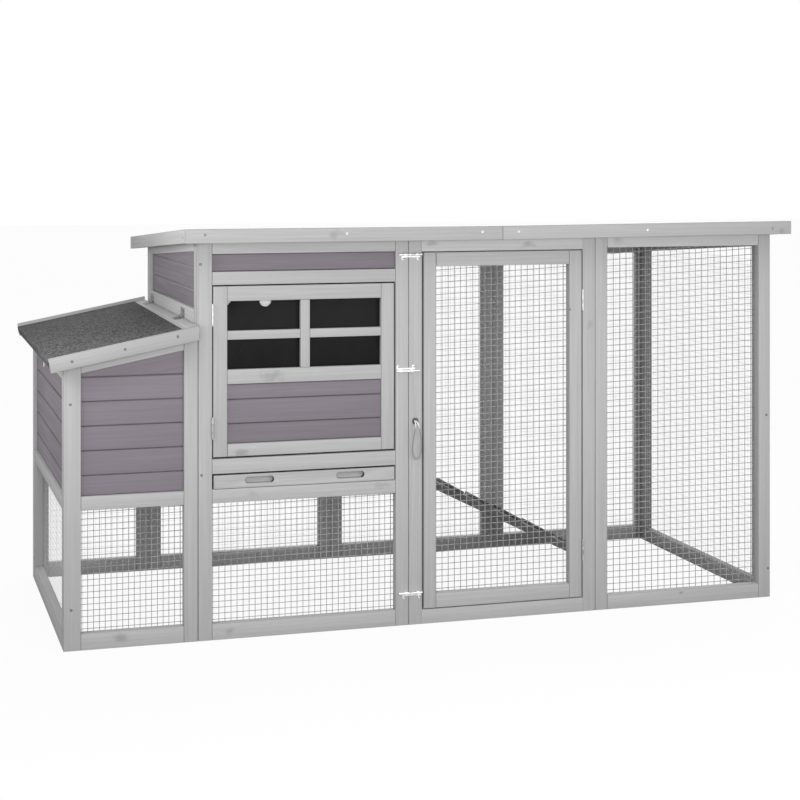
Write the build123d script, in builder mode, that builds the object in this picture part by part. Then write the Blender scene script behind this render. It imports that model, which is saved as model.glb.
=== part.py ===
"""Wooden chicken coop: a raised house with a side nest box, and a wire run beside and under it.

Millimetres, +Z up. X runs from the nest box to the end of the run, Y from the front to the back.
The origin is on the ground, under the middle of the whole coop.
"""
import os
from math import atan, cos, radians, sin, tan

from build123d import *

os.makedirs("parts", exist_ok=True)

# Footprint: four panels stand side by side along the front and along the back
NEST_W = 328.0
HOUSE_W = 543.0
RUN_W = 514.0
DEPTH = 820.0

# Timber: every frame is planed stock, 35 wide and 24 thick, butted and stapled
STILE = 35.0
CORNER_POST = 42.0
T = 24.0
JOINT = 0.2
SEAM = 0.6
DOOR_GAP = 2.0

# Heights of the rails, as low and high edges
SILL = (0.0, 40.0)
FLOOR_RAIL = (338.0, 372.0)
DOOR_SILL = (410.0, 447.0)
HEADER = (877.0, 910.0)
TOP_RAIL = 954.0
BACK_TOP_RAIL = 905.0
RUN_SILL = (0.0, 36.0)
RUN_TOP_RAIL = 953.0
TALL = 1100.0

# Boards: tongued cladding with a V joint, set back from the frame's outer face
BOARD_DEPTH = (6.0, 16.0)
BOARD_PITCH = 59.7
V_JOINT = 2.5
BOARD_GAP = 0.4

# Welded net on the inside of the frames: each gap here stands for four by four of the real ones
NET_PITCH = 64.0
NET_WIRE = 1.6
WELD = 0.05
NET_LAP = 10.0

# Main roof: two decks that fall to the back, felt on top, a fascia on the front and both ends
ROOF_Z = 997.0
ROOF_FALL = 48.0
ROOF_FRONT = 40.0
ROOF_BACK = 80.0
ROOF_SIDE = 37.0
DECK_T = 10.0
FELT_T = 2.0
FASCIA_T = 12.0
FASCIA_H = 35.0
FASCIA_PROUD = 10.0
FELT_LIP = 18.0

# Nest box lid: falls away from the house wall that it is hinged to
LID_Z = 761.0
LID_ANGLE = 11.0
LID_RUN = 370.0
LID_FRONT = 34.0
LID_RAIL_W = 46.0
LID_GAP = 2.0

# House door and its two dropping window panes
DOOR_RAIL = 36.0
DOOR_MID_RAIL = (631.0, 667.0)
DOOR_TOP_RAIL_H = 38.0
DOOR_FACE_T = 12.0
MUNTIN = (22.0, 24.0)
PANE_T = 2.0
PANE_H = 190.0
PANE_DROP = 18.0
PANE_NOTCH_R = 15.0
PANE_CORNER = 12.0
PANE_REBATE = 18.0

# Droppings tray that is also the house floor
TRAY_FRONT_T = 16.0
TRAY_RIM = 20.0
TRAY_WALL = 1.2
SLOT_L = 74.0
SLOT_H = 16.0
SLOT_DEEP = 9.0
SLOT_FROM_MIDDLE = 117.0

# Pop hole in the wall between house and run, its lifting door and the ramp
POP_Y = (540.0, 760.0)
POP_SILL = (372.0, 410.0)
POP_LINTEL = (660.0, 690.0)
POP_DOOR_LAP = 12.0
POP_DOOR_Z = (400.0, 672.0)
POP_DOOR_T = 10.0
GUIDE = 15.5
RAMP_ANGLE = 26.7
RAMP_TOP = 383.0
RAMP_T = 20.0
RAMP_Y = (545.0, 755.0)
CLEAT = (18.0, 9.0)
CLEAT_PITCH = 102.0
CLEATS = 8

# Hardware: small round metal is faceted, with this many sides
SIDES = 12
HINGE_L = 54.0
KNUCKLE_R = 3.2
PIN_R = 1.5
PIN_FIT = 0.05
PIN_OUT = 3.4
LEAF_T = 0.9
LEAF_REACH = 22.0
BOLT_L = 50.0
ROD_L = 62.0
ROD_R = 2.4
ROD_OUT = 4.0
STRAP_R = 4.0
STRAP_L = 9.0
CORD_R = 1.75
CORD_Z = 520.0

# Positions that follow from the sizes above
LENGTH = NEST_W + HOUSE_W + 2 * RUN_W
ROOF_SLOPE = atan(ROOF_FALL / DEPTH)
LID_SLOPE = radians(LID_ANGLE)
LID_REACH = (LID_RUN + FELT_T) * cos(LID_SLOPE) + (DECK_T + FELT_T) * sin(LID_SLOPE)
ROOF_RUN = (DEPTH + ROOF_BACK) / cos(ROOF_SLOPE)
FASCIA_TOP = DECK_T + FELT_T + FASCIA_PROUD
ROOF_REACH = (ROOF_RUN + FELT_T) * cos(ROOF_SLOPE) + FASCIA_TOP * sin(ROOF_SLOPE)
LEFT = (LID_REACH - NEST_W) - (LID_REACH - NEST_W + LENGTH + ROOF_SIDE) / 2
FRONT = ROOF_FRONT - (ROOF_FRONT + ROOF_REACH) / 2
RIGHT = LEFT + LENGTH
BACK = FRONT + DEPTH
HOUSE_X = NEST_W + HOUSE_W
MID_X = HOUSE_X + RUN_W
INNER = (T, DEPTH - T)

# Each wall's plane lies on its outer face: x along the wall, y up, z outwards
FRONT_WALL = Plane(origin=(LEFT, FRONT, 0), x_dir=(1, 0, 0), z_dir=(0, -1, 0))
BACK_WALL = Plane(origin=(RIGHT, BACK, 0), x_dir=(-1, 0, 0), z_dir=(0, 1, 0))
NEST_END = Plane(origin=(LEFT, BACK, 0), x_dir=(0, -1, 0), z_dir=(-1, 0, 0))
HOUSE_LEFT = Plane(origin=(LEFT + NEST_W, BACK, 0), x_dir=(0, -1, 0), z_dir=(-1, 0, 0))
HOUSE_RIGHT = Plane(origin=(LEFT + HOUSE_X, FRONT, 0), x_dir=(0, 1, 0), z_dir=(1, 0, 0))
RUN_END = Plane(origin=(RIGHT, FRONT, 0), x_dir=(0, 1, 0), z_dir=(1, 0, 0))

# Undersides of the roof and of the nest lid: x or y runs along the slope, z is square to it
ROOF = Plane(
    origin=(LEFT, FRONT, ROOF_Z), x_dir=(1, 0, 0), z_dir=(0, sin(ROOF_SLOPE), cos(ROOF_SLOPE))
)
LID = Plane(
    origin=(LEFT + NEST_W, FRONT, LID_Z),
    x_dir=(cos(LID_SLOPE), 0, sin(LID_SLOPE)),
    z_dir=(-sin(LID_SLOPE), 0, cos(LID_SLOPE)),
)


def save(piece, label):
    """Label a finished piece and write it out."""
    piece.part.label = label
    export_step(piece.part, f"parts/{label}.step")


def behind(span):
    """A span of the front, seen from behind, where the wall's x runs the other way."""
    return (LENGTH - span[1], LENGTH - span[0])


def slab(plane, along, up, depth):
    """Add a block on a plane, between two depths measured inwards from it."""
    with BuildSketch(plane.offset(-depth[0])) as section:
        with Locations(((along[0] + along[1]) / 2, (up[0] + up[1]) / 2)):
            Rectangle(along[1] - along[0], up[1] - up[0])
    extrude(section.sketch, amount=depth[0] - depth[1])


def timber(wall, along, up, depth=(0.0, T)):
    """Add one straight piece of frame timber to a wall."""
    slab(wall, along, up, depth)


def frame(wall, along, rails, top=TALL, stiles=(STILE, STILE), foot=0.0):
    """Add a panel's two stiles and the rails butted between them."""
    left, right = along[0] + SEAM / 2, along[1] - SEAM / 2
    timber(wall, (left, along[0] + stiles[0]), (foot, top))
    timber(wall, (along[1] - stiles[1], right), (foot, top))
    for rail in rails:
        timber(wall, (along[0] + stiles[0] + JOINT, along[1] - stiles[1] - JOINT), rail)


def boards(wall, along, up, joints, depth=BOARD_DEPTH):
    """Add level boards with a V joint between them on the wall's outer face."""
    across = Plane(
        origin=wall.from_local_coords((along[0], 0, 0)), x_dir=wall.z_dir * -1, z_dir=wall.x_dir
    )
    face, rear = depth
    edges = [up[0], *joints, up[1]]
    with BuildSketch(across) as section:
        for low, high in zip(edges, edges[1:]):
            foot, head = low + BOARD_GAP / 2, high - BOARD_GAP / 2
            Polygon(
                (face + V_JOINT, foot),
                (rear, foot),
                (rear, head),
                (face + V_JOINT, head),
                (face, head - V_JOINT),
                (face, foot + V_JOINT),
                align=None,
            )
    extrude(section.sketch, amount=along[1] - along[0])


def joints_between(low, high, first, pitch=BOARD_PITCH):
    """Heights of the board joints from the first one up, none nearer than 8 mm to the top."""
    count = int((high - 8.0 - first) / pitch) + 1
    return [first + pitch * step for step in range(count)]


def net(wall, along, up, depth=T):
    """Add a welded net to the inside of a frame: upright wires, then level wires across them."""
    width = along[1] - along[0] + 2 * NET_LAP
    height = up[1] - up[0] + 2 * NET_LAP
    columns, rows = round(width / NET_PITCH), round(height / NET_PITCH)
    step_x, step_y = (width - NET_WIRE) / columns, (height - NET_WIRE) / rows
    middle = ((along[0] + along[1]) / 2, (up[0] + up[1]) / 2)
    with BuildSketch(wall.offset(-depth)) as uprights:
        with Locations(middle):
            with GridLocations(step_x, 0, columns + 1, 1):
                Rectangle(NET_WIRE, height)
    extrude(uprights.sketch, amount=-NET_WIRE)
    with BuildSketch(wall.offset(-depth - NET_WIRE - WELD)) as levels:
        with Locations(middle):
            with GridLocations(0, step_y, 1, rows + 1):
                Rectangle(width, NET_WIRE)
    extrude(levels.sketch, amount=-NET_WIRE)


def quad(wall, corners, depth=(0.0, T)):
    """Add a timber with four or more straight edges, given by its corners on the wall."""
    with BuildSketch(wall.offset(-depth[0])) as section:
        Polygon(*corners, align=None)
    extrude(section.sketch, amount=depth[0] - depth[1])


def block(x, y, z):
    """Add a rectangular block, given by its spans from the front left corner of the frames."""
    middle = (LEFT + (x[0] + x[1]) / 2, FRONT + (y[0] + y[1]) / 2, (z[0] + z[1]) / 2)
    with Locations(middle):
        Box(x[1] - x[0], y[1] - y[0], z[1] - z[0])


def roof_z(y):
    """Height of the roof's underside, y back from the front of the frames."""
    return ROOF_Z - y * tan(ROOF_SLOPE)


def lid_z(x):
    """Height of the nest lid's underside, x from the left of the frames."""
    return LID_Z + (x - NEST_W) * tan(LID_SLOPE)


# Nest box: front, end and back panels under the sloping lid
NEST = (0.0, NEST_W)
NEST_INSIDE = (CORNER_POST + JOINT, NEST_W - STILE - JOINT)
NEST_STILES = (CORNER_POST, STILE)
LOW_RAILS = [SILL, FLOOR_RAIL]
FIRST_JOINT = 421.0

with BuildPart() as nest_front_frame:
    timber(FRONT_WALL, NEST_INSIDE, (LID_Z - 150.0, TALL))
    split(bisect_by=LID.offset(-STILE), keep=Keep.TOP)
    frame(FRONT_WALL, NEST, LOW_RAILS, stiles=NEST_STILES)
    split(bisect_by=LID, keep=Keep.BOTTOM)
save(nest_front_frame, "nest_front_frame")

with BuildPart() as nest_front_boards:
    boards(FRONT_WALL, NEST_INSIDE, (FLOOR_RAIL[1], 780.0), joints_between(372.0, 740.0, FIRST_JOINT))
    split(bisect_by=LID.offset(-STILE - JOINT), keep=Keep.BOTTOM)
save(nest_front_boards, "nest_front_boards")

with BuildPart() as nest_left_frame:
    timber(NEST_END, (INNER[0] + STILE + JOINT, INNER[1] - STILE - JOINT), (655.0, TALL))
    frame(NEST_END, INNER, LOW_RAILS)
    split(bisect_by=LID, keep=Keep.BOTTOM)
save(nest_left_frame, "nest_left_frame")

with BuildPart() as nest_left_boards:
    boards(
        NEST_END,
        (INNER[0] + STILE + JOINT, INNER[1] - STILE - JOINT),
        (FLOOR_RAIL[1], 655.0 - JOINT),
        joints_between(372.0, 655.0, FIRST_JOINT),
    )
save(nest_left_boards, "nest_left_boards")

with BuildPart() as nest_back_frame:
    timber(BACK_WALL, behind(NEST_INSIDE), (LID_Z - 150.0, TALL))
    split(bisect_by=LID.offset(-STILE), keep=Keep.TOP)
    frame(BACK_WALL, behind(NEST), LOW_RAILS, stiles=(STILE, CORNER_POST))
    split(bisect_by=LID, keep=Keep.BOTTOM)
save(nest_back_frame, "nest_back_frame")

# House: front panel with the door and tray openings, back panel, and the two side walls
HOUSE = (NEST_W, HOUSE_X)
HOUSE_INSIDE = (NEST_W + STILE + JOINT, HOUSE_X - STILE - JOINT)

with BuildPart() as house_front_frame:
    frame(FRONT_WALL, HOUSE, [SILL, FLOOR_RAIL, DOOR_SILL, HEADER, (TOP_RAIL, TALL)])
    split(bisect_by=ROOF, keep=Keep.BOTTOM)
save(house_front_frame, "house_front_frame")

with BuildPart() as house_back_frame:
    frame(BACK_WALL, behind(HOUSE), [SILL, FLOOR_RAIL, (BACK_TOP_RAIL, TALL)])
    split(bisect_by=ROOF, keep=Keep.BOTTOM)
save(house_back_frame, "house_back_frame")

with BuildPart() as back_boards:
    boards(BACK_WALL, behind(NEST_INSIDE), (FLOOR_RAIL[1], 780.0), joints_between(372.0, 740.0, FIRST_JOINT))
    split(bisect_by=LID.offset(-STILE - JOINT), keep=Keep.BOTTOM)
    boards(
        BACK_WALL,
        behind(HOUSE_INSIDE),
        (FLOOR_RAIL[1], BACK_TOP_RAIL),
        joints_between(372.0, BACK_TOP_RAIL, FIRST_JOINT),
    )
save(back_boards, "back_boards")

# The house's left wall shows only above the nest lid, below it the house opens into the nest box
LEFT_WALL_RAIL = (772.0, 815.0)
LEFT_WALL_JOINTS = [860.0, 917.0]
SIDE_SPAN = (INNER[0] + STILE + JOINT, INNER[1] - STILE - JOINT)

with BuildPart() as house_left_wall_frame:
    timber(HOUSE_LEFT, SIDE_SPAN, (850.0, TALL))
    split(bisect_by=ROOF.offset(-STILE), keep=Keep.TOP)
    frame(HOUSE_LEFT, INNER, [LEFT_WALL_RAIL], foot=LEFT_WALL_RAIL[0])
    split(bisect_by=ROOF, keep=Keep.BOTTOM)
save(house_left_wall_frame, "house_left_wall_frame")

with BuildPart() as house_upper_boards:
    boards(HOUSE_LEFT, SIDE_SPAN, (LEFT_WALL_RAIL[1], 980.0), LEFT_WALL_JOINTS)
    split(bisect_by=ROOF.offset(-STILE - JOINT), keep=Keep.BOTTOM)
    boards(FRONT_WALL, HOUSE_INSIDE, (HEADER[1], TOP_RAIL), [])
save(house_upper_boards, "house_upper_boards")

# The right wall holds the pop hole, its back stile is the hole's far jamb
POP_JAMB = (POP_Y[0] - T, POP_Y[0])
POP_INSIDE = (POP_Y[0] + JOINT, INNER[1] - STILE - JOINT)

with BuildPart() as house_right_wall_frame:
    timber(HOUSE_RIGHT, SIDE_SPAN, (850.0, TALL))
    split(bisect_by=ROOF.offset(-STILE), keep=Keep.TOP)
    frame(HOUSE_RIGHT, INNER, [FLOOR_RAIL], foot=FLOOR_RAIL[0])
    split(bisect_by=ROOF, keep=Keep.BOTTOM)
    quad(
        HOUSE_RIGHT,
        [
            (POP_JAMB[0], FLOOR_RAIL[1] + JOINT),
            (POP_JAMB[1], FLOOR_RAIL[1] + JOINT),
            (POP_JAMB[1], roof_z(POP_JAMB[1]) - STILE - 2 * JOINT),
            (POP_JAMB[0], roof_z(POP_JAMB[0]) - STILE - 2 * JOINT),
        ],
    )
    for rail in (POP_SILL, POP_LINTEL):
        timber(HOUSE_RIGHT, POP_INSIDE, (rail[0] + JOINT, rail[1]))
save(house_right_wall_frame, "house_right_wall_frame")

with BuildPart() as house_right_wall_boards:
    boards(
        HOUSE_RIGHT,
        (SIDE_SPAN[0], POP_JAMB[0] - JOINT),
        (FLOOR_RAIL[1], 1000.0),
        joints_between(372.0, 960.0, FIRST_JOINT),
    )
    boards(HOUSE_RIGHT, POP_INSIDE, (POP_LINTEL[1], 1000.0), joints_between(690.0, 950.0, 719.5))
    split(bisect_by=ROOF.offset(-STILE - JOINT), keep=Keep.BOTTOM)
save(house_right_wall_boards, "house_right_wall_boards")

# Run: door frame and fixed panel in front, one end panel, two back panels
RUN_A = (HOUSE_X, MID_X)
RUN_B = (MID_X, LENGTH)
CORD_X = HOUSE_X + 17.0
GUIDE_TUBE_R = 5.0
PANEL_SILL = (0.0, 38.0)
PANEL_TOP_RAIL = 956.0

with BuildPart() as run_front_frame:
    frame(FRONT_WALL, RUN_A, [RUN_SILL, (RUN_TOP_RAIL, TALL)])
    split(bisect_by=ROOF, keep=Keep.BOTTOM)
    with Locations(Plane(origin=(LEFT + CORD_X, FRONT + T / 2, CORD_Z), z_dir=(0, -1, 0))):
        Cylinder(GUIDE_TUBE_R + 0.1, 2 * T, mode=Mode.SUBTRACT)
save(run_front_frame, "run_front_frame")

with BuildPart() as run_panel_frame:
    frame(FRONT_WALL, RUN_B, [PANEL_SILL, (PANEL_TOP_RAIL, TALL)])
    split(bisect_by=ROOF, keep=Keep.BOTTOM)
save(run_panel_frame, "run_panel_frame")

with BuildPart() as run_right_frame:
    timber(RUN_END, SIDE_SPAN, (850.0, TALL))
    split(bisect_by=ROOF.offset(-STILE), keep=Keep.TOP)
    frame(RUN_END, INNER, [PANEL_SILL])
    split(bisect_by=ROOF, keep=Keep.BOTTOM)
save(run_right_frame, "run_right_frame")

with BuildPart() as run_back_frame:
    for span in (RUN_A, RUN_B):
        frame(BACK_WALL, behind(span), [SILL, (BACK_TOP_RAIL, TALL)])
    split(bisect_by=ROOF, keep=Keep.BOTTOM)
save(run_back_frame, "run_back_frame")

# Welded nets behind the frame openings
NEST_OPEN = (CORNER_POST, NEST_W - STILE)
HOUSE_OPEN = (NEST_W + STILE, HOUSE_X - STILE)
SIDE_OPEN = (INNER[0] + STILE, INNER[1] - STILE)
LOW_OPEN = (SILL[1], FLOOR_RAIL[0])
RUN_A_OPEN = (HOUSE_X + STILE, MID_X - STILE)
RUN_B_OPEN = (MID_X + STILE, LENGTH - STILE)

with BuildPart() as front_lower_mesh:
    net(FRONT_WALL, NEST_OPEN, LOW_OPEN)
    net(FRONT_WALL, HOUSE_OPEN, LOW_OPEN)
save(front_lower_mesh, "front_lower_mesh")

with BuildPart() as nest_left_mesh:
    net(NEST_END, SIDE_OPEN, LOW_OPEN)
save(nest_left_mesh, "nest_left_mesh")

with BuildPart() as back_lower_mesh:
    net(BACK_WALL, behind(NEST_OPEN), LOW_OPEN)
    net(BACK_WALL, behind(HOUSE_OPEN), LOW_OPEN)
save(back_lower_mesh, "back_lower_mesh")

with BuildPart() as run_panel_mesh:
    net(FRONT_WALL, RUN_B_OPEN, (PANEL_SILL[1], PANEL_TOP_RAIL))
save(run_panel_mesh, "run_panel_mesh")

with BuildPart() as run_right_mesh:
    net(RUN_END, SIDE_OPEN, (PANEL_SILL[1], roof_z(INNER[1]) - STILE - NET_LAP))
save(run_right_mesh, "run_right_mesh")

with BuildPart() as run_back_mesh:
    net(BACK_WALL, behind(RUN_A_OPEN), (SILL[1], BACK_TOP_RAIL))
    net(BACK_WALL, behind(RUN_B_OPEN), (SILL[1], BACK_TOP_RAIL))
save(run_back_mesh, "run_back_mesh")

# Inside: bearers under the tray, the nest floor, the ramp and the roof joint; nest floor and divider
BEARER = (18.0, 22.0)
ROOF_MID = 1112.0
RUNNERS_X = [T + JOINT, NEST_W - BEARER[0], NEST_W + STILE, HOUSE_X - STILE - BEARER[0]]
LEDGER = (14.0, 335.0, 354.0)
NEST_FLOOR = (372.0, 384.0)
DIVIDER_Y = (404.0, 416.0)
ROOST_X = (700.0, 735.0)
ROOST_Z = (413.0, 447.0)
ROOST_ROUND = 8.0

with BuildPart() as bearers:
    for x in RUNNERS_X:
        block((x, x + BEARER[0]), INNER, (FLOOR_RAIL[1] - BEARER[1], FLOOR_RAIL[1]))
    block((HOUSE_X, HOUSE_X + LEDGER[0]), RAMP_Y, LEDGER[1:])
    slab(ROOF, (ROOF_MID - STILE / 2, ROOF_MID + STILE / 2), (INNER[0] + 2.3, INNER[1] - 0.5), (0.0, STILE))
save(bearers, "bearers")

with BuildPart() as nest_floor:
    block((T + JOINT, NEST_W + STILE - JOINT), (INNER[0] + JOINT, INNER[1] - JOINT), NEST_FLOOR)
save(nest_floor, "nest_floor")

with BuildPart() as nest_divider:
    quad(
        FRONT_WALL,
        [
            (T + 2.0, NEST_FLOOR[1]),
            (345.0, NEST_FLOOR[1]),
            (345.0, 470.0),
            (300.0, 560.0),
            (300.0, lid_z(300.0) - 10.0),
            (T + 2.0, lid_z(T + 2.0) - 10.0),
        ],
        DIVIDER_Y,
    )
save(nest_divider, "nest_divider")

with BuildPart() as roost_bar:
    block(ROOST_X, (INNER[0], DEPTH - BOARD_DEPTH[1] - JOINT), ROOST_Z)
    fillet(roost_bar.edges().filter_by(Axis.Y).group_by(Axis.Z)[-1], ROOST_ROUND)
save(roost_bar, "roost_bar")

# Ramp from the pop hole to the ground, with cleats across it
RAMP_SLOPE = radians(RAMP_ANGLE)
RAMP_X = HOUSE_X + 1.5
RAMP_PLUMB = RAMP_T / cos(RAMP_SLOPE)
RAMP = Plane(
    origin=(LEFT + RAMP_X, FRONT + RAMP_Y[0], RAMP_TOP),
    x_dir=(cos(RAMP_SLOPE), 0, -sin(RAMP_SLOPE)),
    z_dir=(sin(RAMP_SLOPE), 0, cos(RAMP_SLOPE)),
)

with BuildPart() as ramp:
    quad(
        FRONT_WALL,
        [
            (RAMP_X, RAMP_TOP),
            (RAMP_X, RAMP_TOP - RAMP_PLUMB),
            (RAMP_X + (RAMP_TOP - RAMP_PLUMB) / tan(RAMP_SLOPE), 0.0),
            (RAMP_X + RAMP_TOP / tan(RAMP_SLOPE), 0.0),
        ],
        RAMP_Y,
    )
    for step in range(CLEATS):
        start = 46.0 + step * CLEAT_PITCH
        slab(RAMP, (start, start + CLEAT[0]), (0.0, RAMP_Y[1] - RAMP_Y[0]), (-CLEAT[1] - 0.05, -0.05))
save(ramp, "ramp")

# Pop door in its two guides, with a stop below
POP_DOOR_Y = (POP_Y[0] - POP_DOOR_LAP, POP_Y[1] + POP_DOOR_LAP)
POP_DOOR_X = (HOUSE_X + 2.0, HOUSE_X + 2.0 + POP_DOOR_T)
GUIDE_LIP_X = (13.0, 19.0)
GUIDE_LIP_Y = 9.5
GUIDE_Z = (388.0, 915.0)
FLOOR_PLANE = Plane(origin=(LEFT + HOUSE_X, FRONT, 0))

with BuildPart() as pop_door_guides:
    for edge, side in ((POP_DOOR_Y[0], -1), (POP_DOOR_Y[1], 1)):
        near, far = edge + side * 0.5, edge + side * (0.5 + GUIDE)
        quad(
            FLOOR_PLANE,
            [
                (0.0, near),
                (GUIDE_LIP_X[0], near),
                (GUIDE_LIP_X[0], near - side * GUIDE_LIP_Y),
                (GUIDE_LIP_X[1], near - side * GUIDE_LIP_Y),
                (GUIDE_LIP_X[1], far),
                (0.0, far),
            ],
            (-GUIDE_Z[1], -GUIDE_Z[0]),
        )
    block((HOUSE_X, HOUSE_X + 14.0), (POP_Y[0] - 2.0, POP_Y[1] + 2.0), (GUIDE_Z[0], POP_DOOR_Z[0]))
save(pop_door_guides, "pop_door_guides")

with BuildPart() as pop_door:
    block(POP_DOOR_X, POP_DOOR_Y, POP_DOOR_Z)
save(pop_door, "pop_door")

# Roof: decks, felt that folds down over the low back edge, fascia boards
ROOF_X = (NEST_W - 38.0, LENGTH + ROOF_SIDE)
DECKS_X = [
    (ROOF_X[0] + FASCIA_T + JOINT, ROOF_MID - JOINT),
    (ROOF_MID + JOINT, ROOF_X[1] - FASCIA_T - JOINT),
]
ROOF_T0 = FASCIA_T - ROOF_FRONT + JOINT
FASCIA_Z = roof_z(FASCIA_T - ROOF_FRONT) + FASCIA_TOP

with BuildPart() as roof_deck:
    for span in DECKS_X:
        slab(ROOF, span, (ROOF_T0, ROOF_RUN), (-DECK_T, 0.0))
save(roof_deck, "roof_deck")

with BuildPart() as roof_felt:
    for span in DECKS_X:
        slab(ROOF, span, (ROOF_T0 + 1.0, ROOF_RUN + FELT_T), (-DECK_T - FELT_T, -DECK_T))
        slab(ROOF, span, (ROOF_RUN, ROOF_RUN + FELT_T), (-DECK_T - FELT_T, FELT_LIP - DECK_T - FELT_T))
save(roof_felt, "roof_felt")

with BuildPart() as roof_fascia:
    for span in ((ROOF_X[0], ROOF_MID - JOINT), (ROOF_MID + JOINT, ROOF_X[1])):
        block(span, (-ROOF_FRONT, FASCIA_T - ROOF_FRONT), (FASCIA_Z - FASCIA_H, FASCIA_Z))
    for span in ((ROOF_X[0], ROOF_X[0] + FASCIA_T), (ROOF_X[1] - FASCIA_T, ROOF_X[1])):
        slab(ROOF, span, (ROOF_T0 + 1.0, ROOF_RUN + FELT_T), (-FASCIA_TOP, FASCIA_H - FASCIA_TOP))
save(roof_fascia, "roof_fascia")

# Nest lid: deck, two fascias with the hinge rail between them, felt folded over the low edge
LID_END = Plane(origin=(LEFT + NEST_W - LID_GAP, 0, 0), z_dir=(1, 0, 0))
LID_Y = (FASCIA_T - LID_FRONT, DEPTH + LID_FRONT - FASCIA_T)
LID_TOP = DECK_T + 10.0

with BuildPart() as nest_lid_deck:
    slab(LID, (-LID_RUN, 20.0), LID_Y, (-DECK_T, 0.0))
    split(bisect_by=LID_END, keep=Keep.BOTTOM)
save(nest_lid_deck, "nest_lid_deck")

with BuildPart() as nest_lid_fascia:
    for near in (-LID_FRONT, DEPTH + LID_FRONT - FASCIA_T):
        slab(LID, (-LID_RUN, 20.0), (near, near + FASCIA_T), (-LID_TOP, FASCIA_H - LID_TOP))
    slab(LID, (-LID_RAIL_W, 20.0), (LID_Y[0] + JOINT, LID_Y[1] - JOINT), (-LID_TOP, -DECK_T))
    split(bisect_by=LID_END, keep=Keep.BOTTOM)
save(nest_lid_fascia, "nest_lid_fascia")

with BuildPart() as nest_lid_felt:
    slab(LID, (-LID_RUN - FELT_T, -LID_RAIL_W - JOINT), LID_Y, (-DECK_T - FELT_T, -DECK_T))
    slab(LID, (-LID_RUN - FELT_T, -LID_RUN), LID_Y, (-DECK_T - FELT_T, FELT_LIP - DECK_T - FELT_T))
save(nest_lid_felt, "nest_lid_felt")

# Droppings tray: a folded steel pan behind a wooden front with two finger slots
TRAY_FRONT_X = (HOUSE_OPEN[0] + DOOR_GAP, HOUSE_OPEN[1] - DOOR_GAP)
TRAY_FRONT_Z = (FLOOR_RAIL[1] + 1.0, DOOR_SILL[0] - 1.0)
TRAY_PAN_X = (HOUSE_OPEN[0] + 9.0, HOUSE_OPEN[1] - 8.0)
TRAY_PAN_Y = (TRAY_FRONT_T, INNER[1] - 10.0)
TRAY_PAN_Z = (FLOOR_RAIL[1] + 0.3, FLOOR_RAIL[1] + 0.3 + TRAY_RIM)
HOUSE_MID = NEST_W + HOUSE_W / 2

with BuildPart() as tray_front:
    block(TRAY_FRONT_X, (0.0, TRAY_FRONT_T), TRAY_FRONT_Z)
    with BuildSketch(FRONT_WALL) as slots:
        for side in (-1, 1):
            with Locations((HOUSE_MID + side * SLOT_FROM_MIDDLE, sum(TRAY_FRONT_Z) / 2)):
                SlotOverall(SLOT_L, SLOT_H)
    extrude(slots.sketch, amount=-SLOT_DEEP, mode=Mode.SUBTRACT)
save(tray_front, "tray_front")

with BuildPart() as tray_pan:
    block(TRAY_PAN_X, TRAY_PAN_Y, TRAY_PAN_Z)
    offset(amount=-TRAY_WALL, openings=tray_pan.faces().sort_by(Axis.Z)[-1])
save(tray_pan, "tray_pan")

# House door: boards below, four lights above, and the strips that the panes slide behind
DOOR_X = (HOUSE_OPEN[0] + DOOR_GAP, HOUSE_OPEN[1] - DOOR_GAP)
DOOR_Z = (DOOR_SILL[1] + DOOR_GAP, HEADER[0] - DOOR_GAP)
DOOR_IN_X = (DOOR_X[0] + DOOR_RAIL, DOOR_X[1] - DOOR_RAIL)
DOOR_IN_Z = (DOOR_Z[0] + 34.0, DOOR_Z[1] - DOOR_TOP_RAIL_H)
DOOR_JOINTS = [532.0, 587.0]
FACE = (0.0, DOOR_FACE_T)
MUNTIN_X = (HOUSE_MID - MUNTIN[1] / 2, HOUSE_MID + MUNTIN[1] / 2)
MUNTIN_Z = (741.0, 741.0 + MUNTIN[0])

with BuildPart() as house_door_frame:
    timber(FRONT_WALL, (DOOR_X[0], DOOR_IN_X[0]), DOOR_Z)
    timber(FRONT_WALL, (DOOR_IN_X[1], DOOR_X[1]), DOOR_Z)
    inside = (DOOR_IN_X[0] + JOINT, DOOR_IN_X[1] - JOINT)
    timber(FRONT_WALL, inside, (DOOR_Z[0], DOOR_IN_Z[0]))
    timber(FRONT_WALL, inside, DOOR_MID_RAIL, FACE)
    timber(FRONT_WALL, inside, (DOOR_IN_Z[1], DOOR_Z[1]), FACE)
    timber(FRONT_WALL, inside, (DOOR_IN_Z[1] + PANE_REBATE, DOOR_Z[1]), (DOOR_FACE_T, T))
    timber(FRONT_WALL, MUNTIN_X, (DOOR_MID_RAIL[1] + JOINT, DOOR_IN_Z[1] - JOINT), FACE)
    timber(FRONT_WALL, (inside[0], MUNTIN_X[0] - JOINT), MUNTIN_Z, FACE)
    timber(FRONT_WALL, (MUNTIN_X[1] + JOINT, inside[1]), MUNTIN_Z, FACE)
save(house_door_frame, "house_door_frame")

with BuildPart() as house_door_boards:
    boards(FRONT_WALL, inside, (DOOR_IN_Z[0], DOOR_MID_RAIL[0]), DOOR_JOINTS, (4.0, DOOR_FACE_T))
save(house_door_boards, "house_door_boards")

# The strips leave a slot of 4 mm behind the door's face, the panes stand in it and drop to open
STRIP = (DOOR_FACE_T + 4.0, T)
STRIP_W = 12.0
STRIP_Z = (DOOR_IN_Z[0] + JOINT, DOOR_IN_Z[1] + PANE_REBATE - JOINT)
STRIP_HEAD = 36.0
STRIPS_X = [
    (inside[0], inside[0] + STRIP_W),
    (HOUSE_MID - STRIP_W, HOUSE_MID + STRIP_W),
    (inside[1] - STRIP_W, inside[1]),
]

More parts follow.
